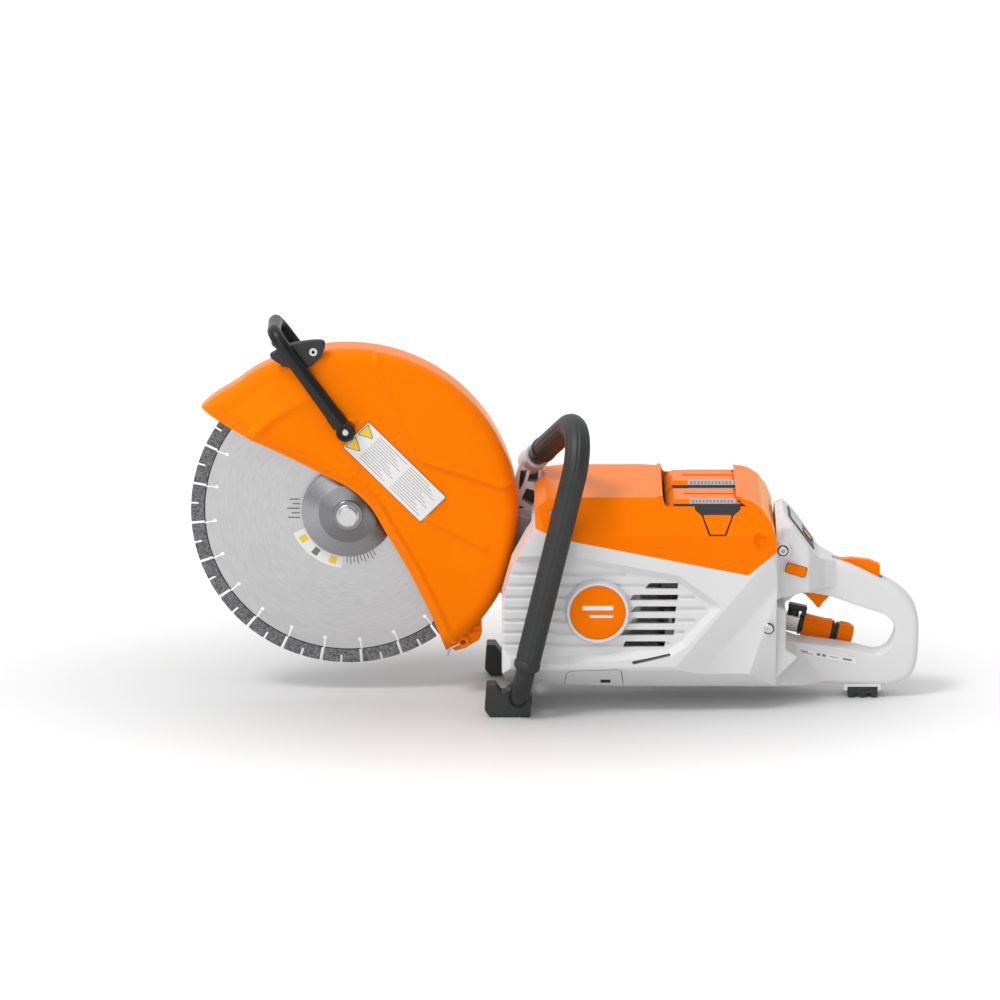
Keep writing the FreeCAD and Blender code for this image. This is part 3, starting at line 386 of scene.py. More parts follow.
class Paint:
    """A procedural material: a Principled shader with its noise, mixes and bumps."""

    def __init__(self, name, colour, roughness, metallic=0.0, **sockets):
        self.material = bpy.data.materials.new(name)
        self.material.use_nodes = True
        self.material.diffuse_color = (*colour, 1)
        self.nodes = self.material.node_tree.nodes
        self.links = self.material.node_tree.links
        self.shader = self.nodes["Principled BSDF"]
        self.shader.inputs["Base Color"].default_value = (*colour, 1)
        self.shader.inputs["Roughness"].default_value = roughness
        self.shader.inputs["Metallic"].default_value = metallic
        for socket, value in sockets.items():
            self.shader.inputs[socket.replace("_", " ")].default_value = value
        self.where = self.nodes.new("ShaderNodeTexCoord").outputs["Object"]

    def node(self, kind, inputs=None, **settings):
        made = self.nodes.new("ShaderNode" + kind)
        for key, value in settings.items():
            setattr(made, key, value)
        for key, value in (inputs or {}).items():
            if isinstance(value, bpy.types.NodeSocket):
                self.links.new(value, made.inputs[key])
            else:
                made.inputs[key].default_value = value
        return made

    def maths(self, operation, *values):
        made = self.node("Math", operation=operation)
        for i, value in enumerate(values):
            if isinstance(value, bpy.types.NodeSocket):
                self.links.new(value, made.inputs[i])
            else:
                made.inputs[i].default_value = value
        return made.outputs[0]

    def noise(self, scale, detail=3.0, vector=None, rough=0.5):
        return self.node("TexNoise", {
            "Vector": vector or self.where, "Scale": scale, "Detail": detail, "Roughness": rough,
        }).outputs["Fac"]

    def spread(self, value, low, high, first=0.0, last=1.0):
        """value from low..high to first..last, clamped."""
        return self.node("MapRange", {
            "Value": value, "From Min": low, "From Max": high, "To Min": first, "To Max": last,
        }).outputs["Result"]

    def mix(self, share, first, last):
        made = self.node("Mix", data_type="RGBA")
        for key, value in ((0, share), (6, first), (7, last)):
            if isinstance(value, bpy.types.NodeSocket):
                self.links.new(value, made.inputs[key])
            elif key:
                made.inputs[key].default_value = (*value, 1)
            else:
                made.inputs[key].default_value = value
        return made.outputs[2]

    def set_colour(self, value):
        self.links.new(value, self.shader.inputs["Base Color"])

    def set_roughness(self, value):
        self.links.new(value, self.shader.inputs["Roughness"])

    def bump(self, height, distance, strength=1.0, after=None):
        inputs = {"Height": height, "Distance": distance, "Strength": strength}
        if after:
            inputs["Normal"] = after
        made = self.node("Bump", inputs).outputs["Normal"]
        self.links.new(made, self.shader.inputs["Normal"])
        return made


def shade(colour, share):
    return tuple(min(1.0, c * share) for c in colour)


def moulded(name, colour, roughness, grain, depth, drift=0.04, **sockets):
    """Moulded plastic or paint: fine grain, and slow drifts of tone and gloss."""
    paint = Paint(name, colour, roughness, **sockets)
    slow = paint.spread(paint.noise(9, 2), 0.3, 0.7)
    fine = paint.noise(grain, 4)
    paint.set_colour(paint.mix(slow, shade(colour, 1 - drift), shade(colour, 1 + drift)))
    speck = paint.spread(fine, 0.35, 0.65, roughness - 0.04, roughness + 0.05)
    drifted = paint.maths("ADD", speck, paint.spread(slow, 0, 1, -0.03, 0.03))
    paint.set_roughness(drifted)
    ripple = paint.bump(paint.noise(45, 2), 0.0004, 0.12)
    paint.bump(fine, depth, 0.5, ripple)
    return paint.material


def metal(name, colour, roughness, streak=None, cast=0.0, **sockets):
    """Bare metal. streak is (fine scales on X, Y and Z) for brushed marks, cast the depth of a cast skin."""
    paint = Paint(name, colour, roughness, 1.0, **sockets)
    if streak:
        stretched = paint.node("Mapping", {"Vector": paint.where, "Scale": streak}).outputs[0]
        marks = paint.noise(1.0, 6, stretched, 0.6)
    else:
        marks = paint.noise(1400 if cast else 900, 5)
    tone = paint.spread(marks, 0.3, 0.7)
    contrast = 0.12 if cast else 0.05
    paint.set_colour(paint.mix(tone, shade(colour, 1 - contrast), shade(colour, 1 + contrast)))
    paint.set_roughness(paint.spread(marks, 0.3, 0.7, roughness - 0.05, roughness + 0.06))
    paint.bump(marks, cast or 0.00003, 0.5)
    return paint.material


def about_spindle(paint):
    """Radius and angle round the wheel's axis, in metres and radians."""
    parts = paint.node("SeparateXYZ", {"Vector": paint.where})
    across = paint.maths("SUBTRACT", parts.outputs["X"], HOME.x)
    up = paint.maths("SUBTRACT", parts.outputs["Z"], HOME.z)
    squares = paint.maths("ADD", paint.maths("MULTIPLY", across, across), paint.maths("MULTIPLY", up, up))
    return paint.maths("SQRT", squares), paint.maths("ARCTAN2", up, across), parts.outputs["Y"]


def turned_metal(name, colour, roughness, fine=2600.0, sweep_scale=1.1, contrast=0.12, **sockets):
    """Metal with concentric tool marks round the wheel's axis."""
    paint = Paint(name, colour, roughness, 1.0, **sockets)
    radius, angle, depth = about_spindle(paint)
    marks = paint.node("CombineXYZ", {
        "X": paint.maths("MULTIPLY", radius, fine),
        "Y": paint.maths("MULTIPLY", angle, sweep_scale),
        "Z": paint.maths("MULTIPLY", depth, fine),
    }).outputs[0]
    streaks = paint.noise(1.0, 4, marks, 0.65)
    tone = paint.spread(streaks, 0.3, 0.7)
    return paint, radius, streaks, paint.mix(tone, shade(colour, 1 - contrast), shade(colour, 1 + contrast))


ORANGE = (0.88, 0.165, 0.0005)
LIGHT = (0.66, 0.66, 0.665)
DARK = (0.012, 0.012, 0.013)

WARM_GLOSS = {"Specular_IOR_Level": 0.22, "Specular_Tint": (1, 0.5, 0.08, 1), "Sheen_Weight": 0.4,
              "Sheen_Roughness": 0.35, "Sheen_Tint": (1, 0.62, 0.16, 1)}

orange = moulded("OrangePlastic", ORANGE, 0.34, 2600, 0.00004, 0.03, **WARM_GLOSS)
guard_paint = moulded("GuardPaint", (0.91, 0.185, 0.0005), 0.28, 1500, 0.00003, 0.02, **WARM_GLOSS)
light_grey = moulded("LightPlastic", LIGHT, 0.38, 2300, 0.00005, 0.015, Specular_IOR_Level=0.4)
black_plastic = moulded("BlackPlastic", DARK, 0.42, 2100, 0.00006, 0.15)
black_metal = moulded("BlackPowderCoat", (0.009, 0.010, 0.010), 0.30, 1700, 0.00008, 0.12,
                     Specular_IOR_Level=0.3)
tube_paint = moulded("GreyTubePaint", (0.018, 0.020, 0.020), 0.3, 1700, 0.00005, 0.1, Specular_IOR_Level=0.35)
rubber = moulded("Rubber", (0.017, 0.019, 0.019), 0.5, 1500, 0.00012, 0.2)
belt_grey = moulded("BeltCoverCoat", (0.03, 0.031, 0.033), 0.5, 1400, 0.0001, 0.12)
white_label = moulded("WhiteLabel", (0.74, 0.74, 0.73), 0.3, 1200, 0.00001, 0.02)
grey_ink = moulded("GreyInk", (0.16, 0.16, 0.165), 0.4, 1200, 0.00001, 0.05)
yellow_ink = moulded("YellowInk", (0.80, 0.55, 0.02), 0.35, 1200, 0.00001, 0.03)
screen = moulded("DisplayGlass", (0.01, 0.011, 0.013), 0.08, 300, 0.000005, 0.05)
cast = metal("CastAlloy", (0.60, 0.605, 0.61), 0.42, cast=0.00012, Metallic=0.35)
steel = metal("TurnedSteel", (0.62, 0.62, 0.63), 0.26)
washer_steel = metal("WasherSteel", (0.22, 0.22, 0.225), 0.28)
zinc = metal("ZincScrew", (0.58, 0.58, 0.59), 0.3)
nickel = metal("NickelPlate", (0.60, 0.57, 0.50), 0.28)
iron = metal("LaminatedIron", (0.28, 0.27, 0.27), 0.45, cast=0.0001)


def blade_steel():
    """Ground steel core: circular grinding marks, and a painted shadow line on the core just under the
    segments' step.
    """
    paint, radius, streaks, tone = turned_metal("BladeSteel", (0.52, 0.52, 0.525), 0.38, 1000, 7.0, 0.15)
    cross = paint.noise(60, 4)
    tone = paint.mix(paint.spread(cross, 0.35, 0.7, 0, 0.35), tone, (0.57, 0.57, 0.575))
    # painted shadow: a dark ring just inside the segments, where their step shades the core
    line = paint.maths("MULTIPLY", paint.spread(radius, 0.1588, 0.1594),
                       paint.spread(radius, 0.1606, 0.1610, 1, 0))
    paint.set_colour(paint.mix(line, tone, (0.03, 0.03, 0.032)))
    paint.set_roughness(paint.spread(streaks, 0.3, 0.7, 0.34, 0.52))
    paint.bump(streaks, 0.00004, 0.5)
    return paint.material


def flange_steel():
    paint, radius, streaks, tone = turned_metal("FlangeSteel", (0.34, 0.34, 0.35), 0.3, 3000, 0.5, 0.14)
    # painted shade: the cone is coloured darker than the flat ring, standing in for its dark reflections
    cone_shade = paint.spread(radius, 0.0322, 0.0328, 1, 0)
    paint.set_colour(paint.mix(cone_shade, tone, (0.2, 0.2, 0.205)))
    paint.set_roughness(paint.spread(streaks, 0.3, 0.7, 0.22, 0.36))
    paint.bump(streaks, 0.00003, 0.6)
    return paint.material


def grit():
    """Sintered segments: dark metal with lighter grit and small pits."""
    paint = Paint("DiamondSegment", (0.13, 0.13, 0.135), 0.7, 0.35)
    specks = paint.node("TexVoronoi", {"Vector": paint.where, "Scale": 750.0}).outputs["Distance"]
    coarse = paint.noise(420, 6, rough=0.7)
    tone = paint.mix(paint.spread(coarse, 0.38, 0.64), (0.045, 0.045, 0.048), (0.26, 0.26, 0.27))
    paint.set_colour(paint.mix(paint.spread(specks, 0.12, 0.28, 1, 0), tone, (0.40, 0.40, 0.41)))
    paint.set_roughness(paint.spread(coarse, 0.3, 0.7, 0.55, 0.85))
    paint.bump(coarse, 0.0005, 0.9)
    return paint.material


blade = blade_steel()
flange_metal = flange_steel()
segment = grit()


# ---- camera, light and floor ----

CAMERA_TILT = math.radians(14)
CAMERA_AWAY = 10000
PICTURE_WIDE = 1113.2
SKY = ((0.0, 0.10), (0.5, 0.45), (1.0, 1.15))
SUNS = (("KeySun", (0.5, 0.42, -1.0), 1.35, 18), ("FrontSun", (0.3, 1.0, -0.35), 0.75, 50))
FLOOR_UP = -208
# floor tones: a painted shadow grey close to the saw, plain pale further out
FLOOR_SHADOW_GREY = (0.56, 0.56, 0.56)
FLOOR_FAR = (0.9, 0.9, 0.9)
BRIGHT_SIDE = Vector((-0.35, 0.45, 0.82)).normalized()


def row(x, y, z):
    return TO_ROW @ Vector((x, y, z))


def pale_floor():
    """A pale floor with a painted shadow: its colour is greyer round the saw."""
    paint = Paint("PaleFloor", (0.9, 0.9, 0.9), 0.6)
    parts = paint.node("SeparateXYZ", {"Vector": paint.where})
    along = paint.maths("MULTIPLY", paint.maths("SUBTRACT", parts.outputs["X"], row(169, 0, 0).x), 0.55)
    away = paint.maths("SUBTRACT", parts.outputs["Y"], row(0, 40, 0).y)
    squares = paint.maths("ADD", paint.maths("MULTIPLY", along, along), paint.maths("MULTIPLY", away, away))
    # painted shadow: the floor's colour darkens close to the saw and fades out to the pale far floor
    shadow_fade = paint.spread(paint.maths("SQRT", squares), 0.1, 0.42)
    paint.set_colour(paint.mix(shadow_fade, FLOOR_SHADOW_GREY, FLOOR_FAR))
    floor = solid("Floor", [(-9, -9, 0), (9, -9, 0), (9, 9, 0), (-9, 9, 0)], [(0, 1, 2, 3)])
    painted(floor, paint.material)
    floor.location.z = row(0, 0, FLOOR_UP).z - 0.0003


def studio():
    scene = bpy.context.scene
    scene.view_settings.view_transform = "Standard"
    aim = Vector((169, 14, 11.5))
    lens = bpy.data.cameras.new("Camera")
    lens.sensor_width = 36
    lens.lens = 36 * CAMERA_AWAY / PICTURE_WIDE
    lens.clip_end = 50
    camera = bpy.data.objects.new("Camera", lens)
    back = Vector((0, -math.cos(CAMERA_TILT), math.sin(CAMERA_TILT)))
    camera.location = TO_ROW @ (aim + back * CAMERA_AWAY)
    camera.rotation_euler = (math.pi / 2 - CAMERA_TILT, 0, 0)
    scene.collection.objects.link(camera)
    scene.camera = camera

    world = bpy.data.worlds.new("Studio")
    world.use_nodes = True
    nodes = world.node_tree.nodes
    where = nodes.new("ShaderNodeTexCoord").outputs["Generated"]
    facing = nodes.new("ShaderNodeVectorMath")
    facing.operation = "DOT_PRODUCT"
    facing.inputs[1].default_value = BRIGHT_SIDE
    world.node_tree.links.new(where, facing.inputs[0])
    height = nodes.new("ShaderNodeMapRange")
    height.inputs["From Min"].default_value = -1
    world.node_tree.links.new(facing.outputs["Value"], height.inputs["Value"])
    ramp = nodes.new("ShaderNodeValToRGB")
    ramp.color_ramp.elements.new(0.5)
    for element, (place, level) in zip(ramp.color_ramp.elements, SKY):
        element.position = place
        element.color = (level, level, level, 1)
    world.node_tree.links.new(height.outputs[0], ramp.inputs[0])
    world.node_tree.links.new(ramp.outputs[0], nodes["Background"].inputs["Color"])
    scene.world = world

    for name, toward, strength, spread in SUNS:
        light = bpy.data.lights.new(name, "SUN")
        light.energy = strength
        light.angle = math.radians(spread)
        lamp = bpy.data.objects.new(name, light)
        lamp.location = row(0, 0, 1500)
        lamp.rotation_euler = Vector(toward).to_track_quat("-Z", "Y").to_euler()
        scene.collection.objects.link(lamp)


studio()
pale_floor()


# ---- wheel and clamping ----

WHEEL = {"core": 160.5, "rim": 175.0, "count": 24, "phase": 4.7, "near": 12.2, "far": 15.8,
         "core_near": 12.8, "core_far": 15.2}


def polar(radius, degrees):
    angle = math.radians(degrees)
    return radius * math.cos(angle), radius * math.sin(angle)


def core():
    """The steel core, with a keyhole slot at each gap between segments."""
    bore, foot, half_slot = 12.7, 149, 0.95
    near, far = WHEEL["core_near"], WHEEL["core_far"]
    disc = lathe("core", [(near, bore), (near, WHEEL["core"]), (far, WHEEL["core"]), (far, bore)], steps=288)
    slots = []
    holes = []
    for i in range(WHEEL["count"]):
        angle = WHEEL["phase"] + 360 / WHEEL["count"] * i
        # a slot leans a little as it runs out to the rim
        line = [Vector(polar(foot + 2.2 * k, angle + 0.1 * k)) for k in range(8)]
        across = Vector((-math.sin(math.radians(angle)), math.cos(math.radians(angle)))) * half_slot
        sides = [p + across for p in line] + [p - across for p in reversed(line)]
        slots.append(prism("slot", "side", [tuple(p) for p in sides], 10, 18))
        holes.append(rod("hole", 2.2, 9, 19, *polar(foot, angle), 20))
    cut(disc, joined("slots", *slots), joined("holes", *holes))
    finished(disc, "wheel_core_slotted", "spindle", blade, ["wheel_core"], weighted=False)


def segments():
    """Sintered segments, each with a notch in its middle."""
    pieces = []
    pitch = 360 / WHEEL["count"]
    gap, notch = 0.55, 0.42
    foot = WHEEL["rim"] - 8.5
    for i in range(WHEEL["count"]):
        first = WHEEL["phase"] + i * pitch + gap
        last = WHEEL["phase"] + (i + 1) * pitch - gap
        middle = (first + last) / 2
        outline = []
        for k in range(9):
            outline.append(polar(WHEEL["core"] - 0.2, first + (last - first) * k / 8))
        for k in range(5):
            outline.append(polar(WHEEL["rim"], last + (middle + notch - last) * k / 4))
        outline += [polar(foot + 1, middle + notch), polar(foot, middle + 0.1), polar(foot, middle - 0.1),
                    polar(foot + 1, middle - notch)]
        for k in range(5):
            outline.append(polar(WHEEL["rim"], middle - notch + (first - middle + notch) * k / 4))
        pieces.append(prism("segment", "side", outline, WHEEL["near"], WHEEL["far"]))
    whole = joined("segments", *pieces)
    bevelled(whole, 0.35, 1, 50)
    finished(whole, "wheel_segment_ring", "spindle", segment, ["wheel_segments"], weighted=False)


def clamping():
    flange = lathe("flange", [(12.75, 12), (12.75, 50.9), (12.2, 51.5), (6.6, 51.5), (5.9, 50.7),
                              (-3.2, 34.0), (-3.9, 33.2), (-4.7, 31.8), (-9.5, 18.4), (-9.9, 17.4),
                              (-9.9, 12)], steps=160)
    finished(flange, "outer_flange_turned", "spindle", flange_metal, ["outer_flange"], 14)
    washer = lathe("washer", [
        (-9.9, 9.5), (-9.9, 16.2), (-10.4, 16.8), (-12.4, 16.8), (-13, 16.2), (-13, 9.5)], steps=96)
    finished(washer, "clamp_washer_turned", "spindle", washer_steel, ["clamp_washer"], 20)
    corner = 20.6 / math.sqrt(3)
    hexagon = [polar(corner, 30 + 60 * i) for i in range(6)]
    head = prism("head", "side", hexagon, -21, -13)
    dome = lathe("dome", [(-21, 0), (-21, 9.6), (-19.6, corner + 0.1), (-13, corner + 0.1), (-13, 0)],
                 steps=72)
    common(head, dome)
    bevelled(head, 0.35, 2, 25)
    collar = lathe("collar", [(-14.2, 0), (-14.2, 12.1), (-13.8, 12.6), (-13, 12.6), (-13, 0)], steps=72)
    shank = rod("shank", 6, -13, -4, 0, 0, 32)
    finished(joined("bolt", head, collar, shank), "clamp_bolt_head", "spindle", zinc,
             ["clamp_bolt"], 24)


def arc_band(name, inner, outer, first, last, depth, thick=0.12):
    """A thin printed band on the wheel's near face."""
    count = max(2, round((last - first) / 3))
    angles = [first + (last - first) * k / count for k in range(count + 1)]
    outline = [polar(outer, a) for a in angles] + [polar(inner, a) for a in reversed(angles)]
    return prism(name, "side", outline, depth - thick, depth + 0.05)


def wheel_print():
    """A blank sticker and plain bars on the core."""
    face = WHEEL["core_near"]
    sticker = painted(arc_band("sticker", 52.2, 66.5, 203, 263, face), white_label)
    marks = [painted(arc_band("mark", 55, 63.5, a, a + 8, face - 0.1), yellow_ink) for a in (209, 249)]
    marks.append(painted(arc_band("mark", 55, 63.5, 229, 236, face - 0.1), grey_ink))
    bars = []
    for k, (low, high) in enumerate(((54, 62), (54, 59), (54, 65), (54, 60), (54, 64))):
        up = 12 - 5.2 * k
        bars.append(painted(box("bar", (-high - 3, face - 0.12, up), (-low, face + 0.05, up + 1.6)),
                            grey_ink))
    for k in range(9):
        bars.append(painted(arc_band("bar", 53, 60 + 2 * (k % 2), 268 + 4 * k, 269.2 + 4 * k, face),
                            grey_ink))
    finished(joined("print", sticker, *marks, *bars), "wheel_sticker", "spindle", weighted=False)


core()
segments()
clamping()
wheel_print()


# ---- guard ----

GUARD_NEAR = -16.0
GUARD_FAR = 42.0
GUARD_RIM = 189.0
# X, Z of the guard's open edge and of the folds in its near face
MOUTH = [(-161, 118), (-138, 103), (-106, 87), (-74, 72), (-48, 59), (-23, 46), (-8, 38.5), (3, 32),
         (15, 22), (26, 10), (34, -3), (41, -16), (54, -38), (67, -61), (81, -89), (95, -119), (103, -139),
         (110, -158)]
CREASE = [(24, 187), (32, 168), (42, 147), (57, 110), (66, 86), (71, 76), (80, 66), (92, 60), (116, 53),
          (150, 41), (190, 27)]
SOFT_CREASE = [(88, -2), (118, -17), (151, -35)]


def to_line(points, line):
    """The distance of each point to a line of corners, as numpy arrays."""
    best = np.full(len(points), 1e9)
    for (ax, az), (bx, bz) in zip(line, line[1:]):
        ab = np.array([bx - ax, bz - az])
        ap = points - np.array([ax, az])
        share = np.clip(ap @ ab / (ab @ ab), 0, 1)
        best = np.minimum(best, np.hypot(*(ap - share[:, None] * ab).T))
    return best


def ease(value, low, high):
    share = np.clip((value - low) / (high - low), 0, 1)
    return share * share * (3 - 2 * share)


def inside(points, outline):
    """True where a point is inside the outline."""
    result = np.zeros(len(points), bool)
    x, z = points.T
    for (ax, az), (bx, bz) in zip(outline, outline[1:] + outline[:1]):
        crosses = (az > z) != (bz > z)
        with np.errstate(divide="ignore", invalid="ignore"):
            at = (bx - ax) * (z - az) / (bz - az) + ax
        result ^= crosses & (x < at)
    return result


def guard_relief(points):
    """How far the near face stands out of its flat, in mm, and how far the front sweep alone draws it in."""
    radius = np.hypot(*points.T)
    angle = np.degrees(np.arctan2(points[:, 1], points[:, 0]))
    crease = curved(CREASE, 4, closed=False)
    raised = inside(points, crease + [(230, 40), (230, 230), (24, 230)])
    away = to_line(points, crease)
    height = np.where(raised, 1, -1) * np.minimum(away, 4) / 4
    relief = 2.2 * ease(height, -1, 1) + 2.0 * np.exp(-(away / 2.6) ** 2)
    relief += 1.8 * np.exp(-(to_line(points, SOFT_CREASE) / 4) ** 2)
    edge = to_line(points, curved(MOUTH, 4, closed=False))
    relief += 3.2 * np.exp(-((edge - 9.5) / 2.6) ** 2)
    relief -= 1.6 * (1 - ease(edge, 0, 8))
    relief += 2.2 * (1 - (radius / GUARD_RIM) ** 2)
    tab = (np.abs(points[:, 0] - 4.5) < 6.5) & (np.abs(points[:, 1] - 108.5) < 3)
    relief += 1.2 * tab
    front = ease(angle, 96, 128)
    bend = np.clip((radius - 138) / 51, 0, 1)
    relief += front * 3.0 * np.exp(-((radius - 140) / 6) ** 2)
    swept = front * 17 * bend ** 1.3
    for x, z, lean, long in ((-101, 156, 28, 11), (-108, 151, 62, 4.5), (-110, 154.5, -6, 4.5)):
        turn = math.radians(lean)
        along = (points[:, 0] - x) * math.cos(turn) + (points[:, 1] - z) * math.sin(turn)
        off = -(points[:, 0] - x) * math.sin(turn) + (points[:, 1] - z) * math.cos(turn)
        relief += 1.0 * (np.abs(along) < long) * np.exp(-(off / 1.4) ** 2)
    return relief - swept, swept


def guard_shell():
    """The drum: a fine grid over the near face, then its rounded rim, the far face and the inside."""
    corner, wall = 14, 3
    angles = np.radians(np.arange(-74, 153.5, 0.55))
    radii = np.concatenate([[24], np.arange(26, 175.5, 1.7)])
    relief_grid = []
    sweeps = []
    for angle in angles:
        points = np.stack([radii * math.cos(angle), radii * math.sin(angle)], 1)
        relief, swept = guard_relief(points)
        relief_grid.append(relief)
        sweeps.append(swept)
    profile_points = []
    for angle, relief, swept in zip(angles, relief_grid, sweeps):
        degrees = math.degrees(angle)
        flare = 9.5 * float(ease(np.array(degrees), 128, 145))
        flare += 2.5 * float(ease(np.array(degrees), 104, 124))
        flare += 2.5 * float(ease(np.array(-degrees), 8, 30))
        near = GUARD_NEAR - float(relief[-1])
        profile = [(GUARD_NEAR - float(h), float(r)) for h, r in zip(relief, radii)]
        knee = radii[-1]
        curve = GUARD_RIM + flare - knee
        for k in range(1, 9):
            turn = math.pi / 2 * k / 8
            profile.append((near + corner - corner * math.cos(turn), knee + curve * math.sin(turn)))
        for share in (0.25, 0.5, 0.75):
            profile.append((near + corner + (GUARD_FAR - 2 * corner - near) * share, GUARD_RIM + flare))
        for k in range(0, 8):
            turn = math.pi / 2 * k / 7
            profile.append((GUARD_FAR - corner + corner * math.sin(turn), knee + curve * math.cos(turn)))
        for radius in (140, 100, 60, 30.3):
            profile.append((GUARD_FAR, radius))
        for radius in (30.3, 60, 100, 140, 170):
            profile.append((GUARD_FAR - wall, radius))
        for k in range(1, 5):
            turn = math.pi / 2 * k / 4
            profile.append((GUARD_FAR - corner + (corner - wall) * math.cos(turn),
                            knee - wall + curve * math.sin(turn)))
        for k in range(0, 4):
            turn = math.pi / 2 * k / 4
            profile.append((near + corner - 9 * math.sin(turn), knee - wall + curve * math.cos(turn)))
        for radius in (168, 163, 158, 153, 148, 144, 140, 110, 80, 50, 24):
            profile.append((GUARD_NEAR + 4 + float(np.interp(radius, radii, swept)), radius))
        profile_points.append([(r * math.cos(angle), y, r * math.sin(angle)) for y, r in profile])
    count = len(profile_points[0])
    points = [p for column in profile_points for p in column]
    faces = []
    for i in range(len(profile_points) - 1):
        for k in range(count):
            n = (k + 1) % count
            faces.append((i * count + k, i * count + n, (i + 1) * count + n, (i + 1) * count + k))
    faces.append(list(range(count)))
    faces.append([(len(profile_points) - 1) * count + k for k in range(count)])
    shell = solid("guard", points, faces)
    outline = curved(MOUTH, 4, closed=False) + [(118, -260), (-260, -260), (-260, 118)]
    cut(shell, prism("mouth", "side", outline, -60, 80))
    return shell


def guard_lug():
    """The rear lug with its bored boss, web and wire clip."""
    plate = prism("lug", "side", rounded([(104, -140), (110, -150), (119, -158), (128, -155), (146, -145),
                                          (149, -136), (148, -121), (128, -114)], 3), -4, 32)
    bevelled(plate, 1.2, 2)
    boss = rod("boss", 7, -9, 37, 128, -146.5, 40, 1)
    add(plate, boss)
    pockets = []
    for low, high in ((-135, -131.5), (-128.5, -125)):
        window = rounded([(136, low - 2), (147, low), (147, high), (134, high - 1)], 1)
        pockets.append(prism("pocket", "side", window, -20, -1))
    cut(plate, rod("bore", 3, -20, 50, 128, -146.5, 32), *pockets)
    clip = sweep("clip", route([(110, -9, -162), (114, -9, -153), (124, -9, -148)], [3]), 1.1, 10)
    return plate, clip


def guard():
    shell = guard_shell()
    ring = lathe("hub", [(39, 30.05), (42, 30.05), (42.6, 31), (42.6, 45), (42, 46), (39, 46)], steps=128)
    plate, clip = guard_lug()
    add(shell, ring, plate)
    finished(shell, "guard_cover", "guard", guard_paint, ["guard_shell"], 38, weighted=False)
    finished(clip, "guard_clip", "guard", zinc)


guard()


# X, Z of the adjusting lever's pivots and of its crossbar
LEVER_FOOT = (-2.0, 100.0)
LEVER_HEAD = (-80.6, 210.1)


def guard_lever():
    """The adjusting lever: a tube that tapers to its crossbar, with a collar and a ring at each foot."""
    foot = Vector((LEVER_FOOT[0], 0, LEVER_FOOT[1]))
    head = Vector((LEVER_HEAD[0], 0, LEVER_HEAD[1]))
    up = (head - foot).normalized()
    near, far = Y_AXIS * -25.7, Y_AXIS * 51.7
    start = foot + up * 9
    line = divided(route([start + near, head + near, head + far, start + far], [16, 16]), 4)
    length = line_length(line)

    def radius(distance):
        end = min(distance, length - distance)
        collar = 0.7 if end < 14 else 0
        return 9.4 - 2.0 * min(1, end / 150) + collar

    def section(angle, distance):
        return 1 - 0.06 * abs(math.sin(2 * angle)) ** 3

    bar = sweep("lever", line, radius, 32, section)
    rings = []
    caps = []
    for face, root in ((-35, -17), (61, 43)):
        into = 1 if root > face else -1
        ring = lathe("ring", [(root, 0), (root, 10.6), (face + 1.4 * into, 10.6), (face, 9.2), (face, 7.4),
                              (face + 2.6 * into, 6.6), (face + 2.6 * into, 0)], tuple(foot), steps=48)
        rings.append(ring)
        low, high = sorted((face + 0.8 * into, face + 3 * into))
        caps.append(rod("cap", 3.6, low, high, foot.x, foot.z, 32, 0.4))
    finished(joined("lever", bar, *rings), "guard_lever_tube", "guard", black_metal,
             ["guard_lever"], 30)
    finished(joined("caps", *caps), "lever_foot_screws", "guard", zinc)


WING = [(-85.5, 184), (-78, 190.5), (-57, 199), (-30, 202), (-24, 197), (-29, 184), (-40, 172.5), (-50, 170),
        (-62.6, 170), (-76, 175.5)]


def lever_saddle():
    """The moulded saddle that clamps the lever over the rim, with a wing on each side."""
    outline = curved(WING, 4)
    low_wing = [(x, min(z, 186 + (x + 45) * 0.02)) for x, z in outline]
    near = prism("wing", "side", outline, -21.5, -13)
    far = prism("wing", "side", low_wing, 40, 47.5)
    over = lathe("over", [(-19, 185), (-19, 194), (-13, 197.5), (-4, 196), (12, 193), (30, 192), (42, 187),
                          (45, 184)], steps=30, start=99, turn=14)
    add(near, far, over)
    melted(near, 1.15, 6)
    wells = [rod("well", 5.6, -30, -19.8, -37.4, 188.5, 40), rod("well", 5.6, 45.8, 60, -37.4, 180, 40)]
    cut(near, *wells)
    finished(near, "lever_saddle", "guard", black_plastic, ["lever_bracket"], 40,
             weighted=False)
    heads = []
    for face, depth, up in ((-21, 4, 188.5), (47, -4, 180)):
        heads.append(socket_head(5.2, face, depth, -37.4, up, 2.0))
    finished(joined("heads", *heads), "saddle_screws", "guard", zinc, ["guard_screws"])


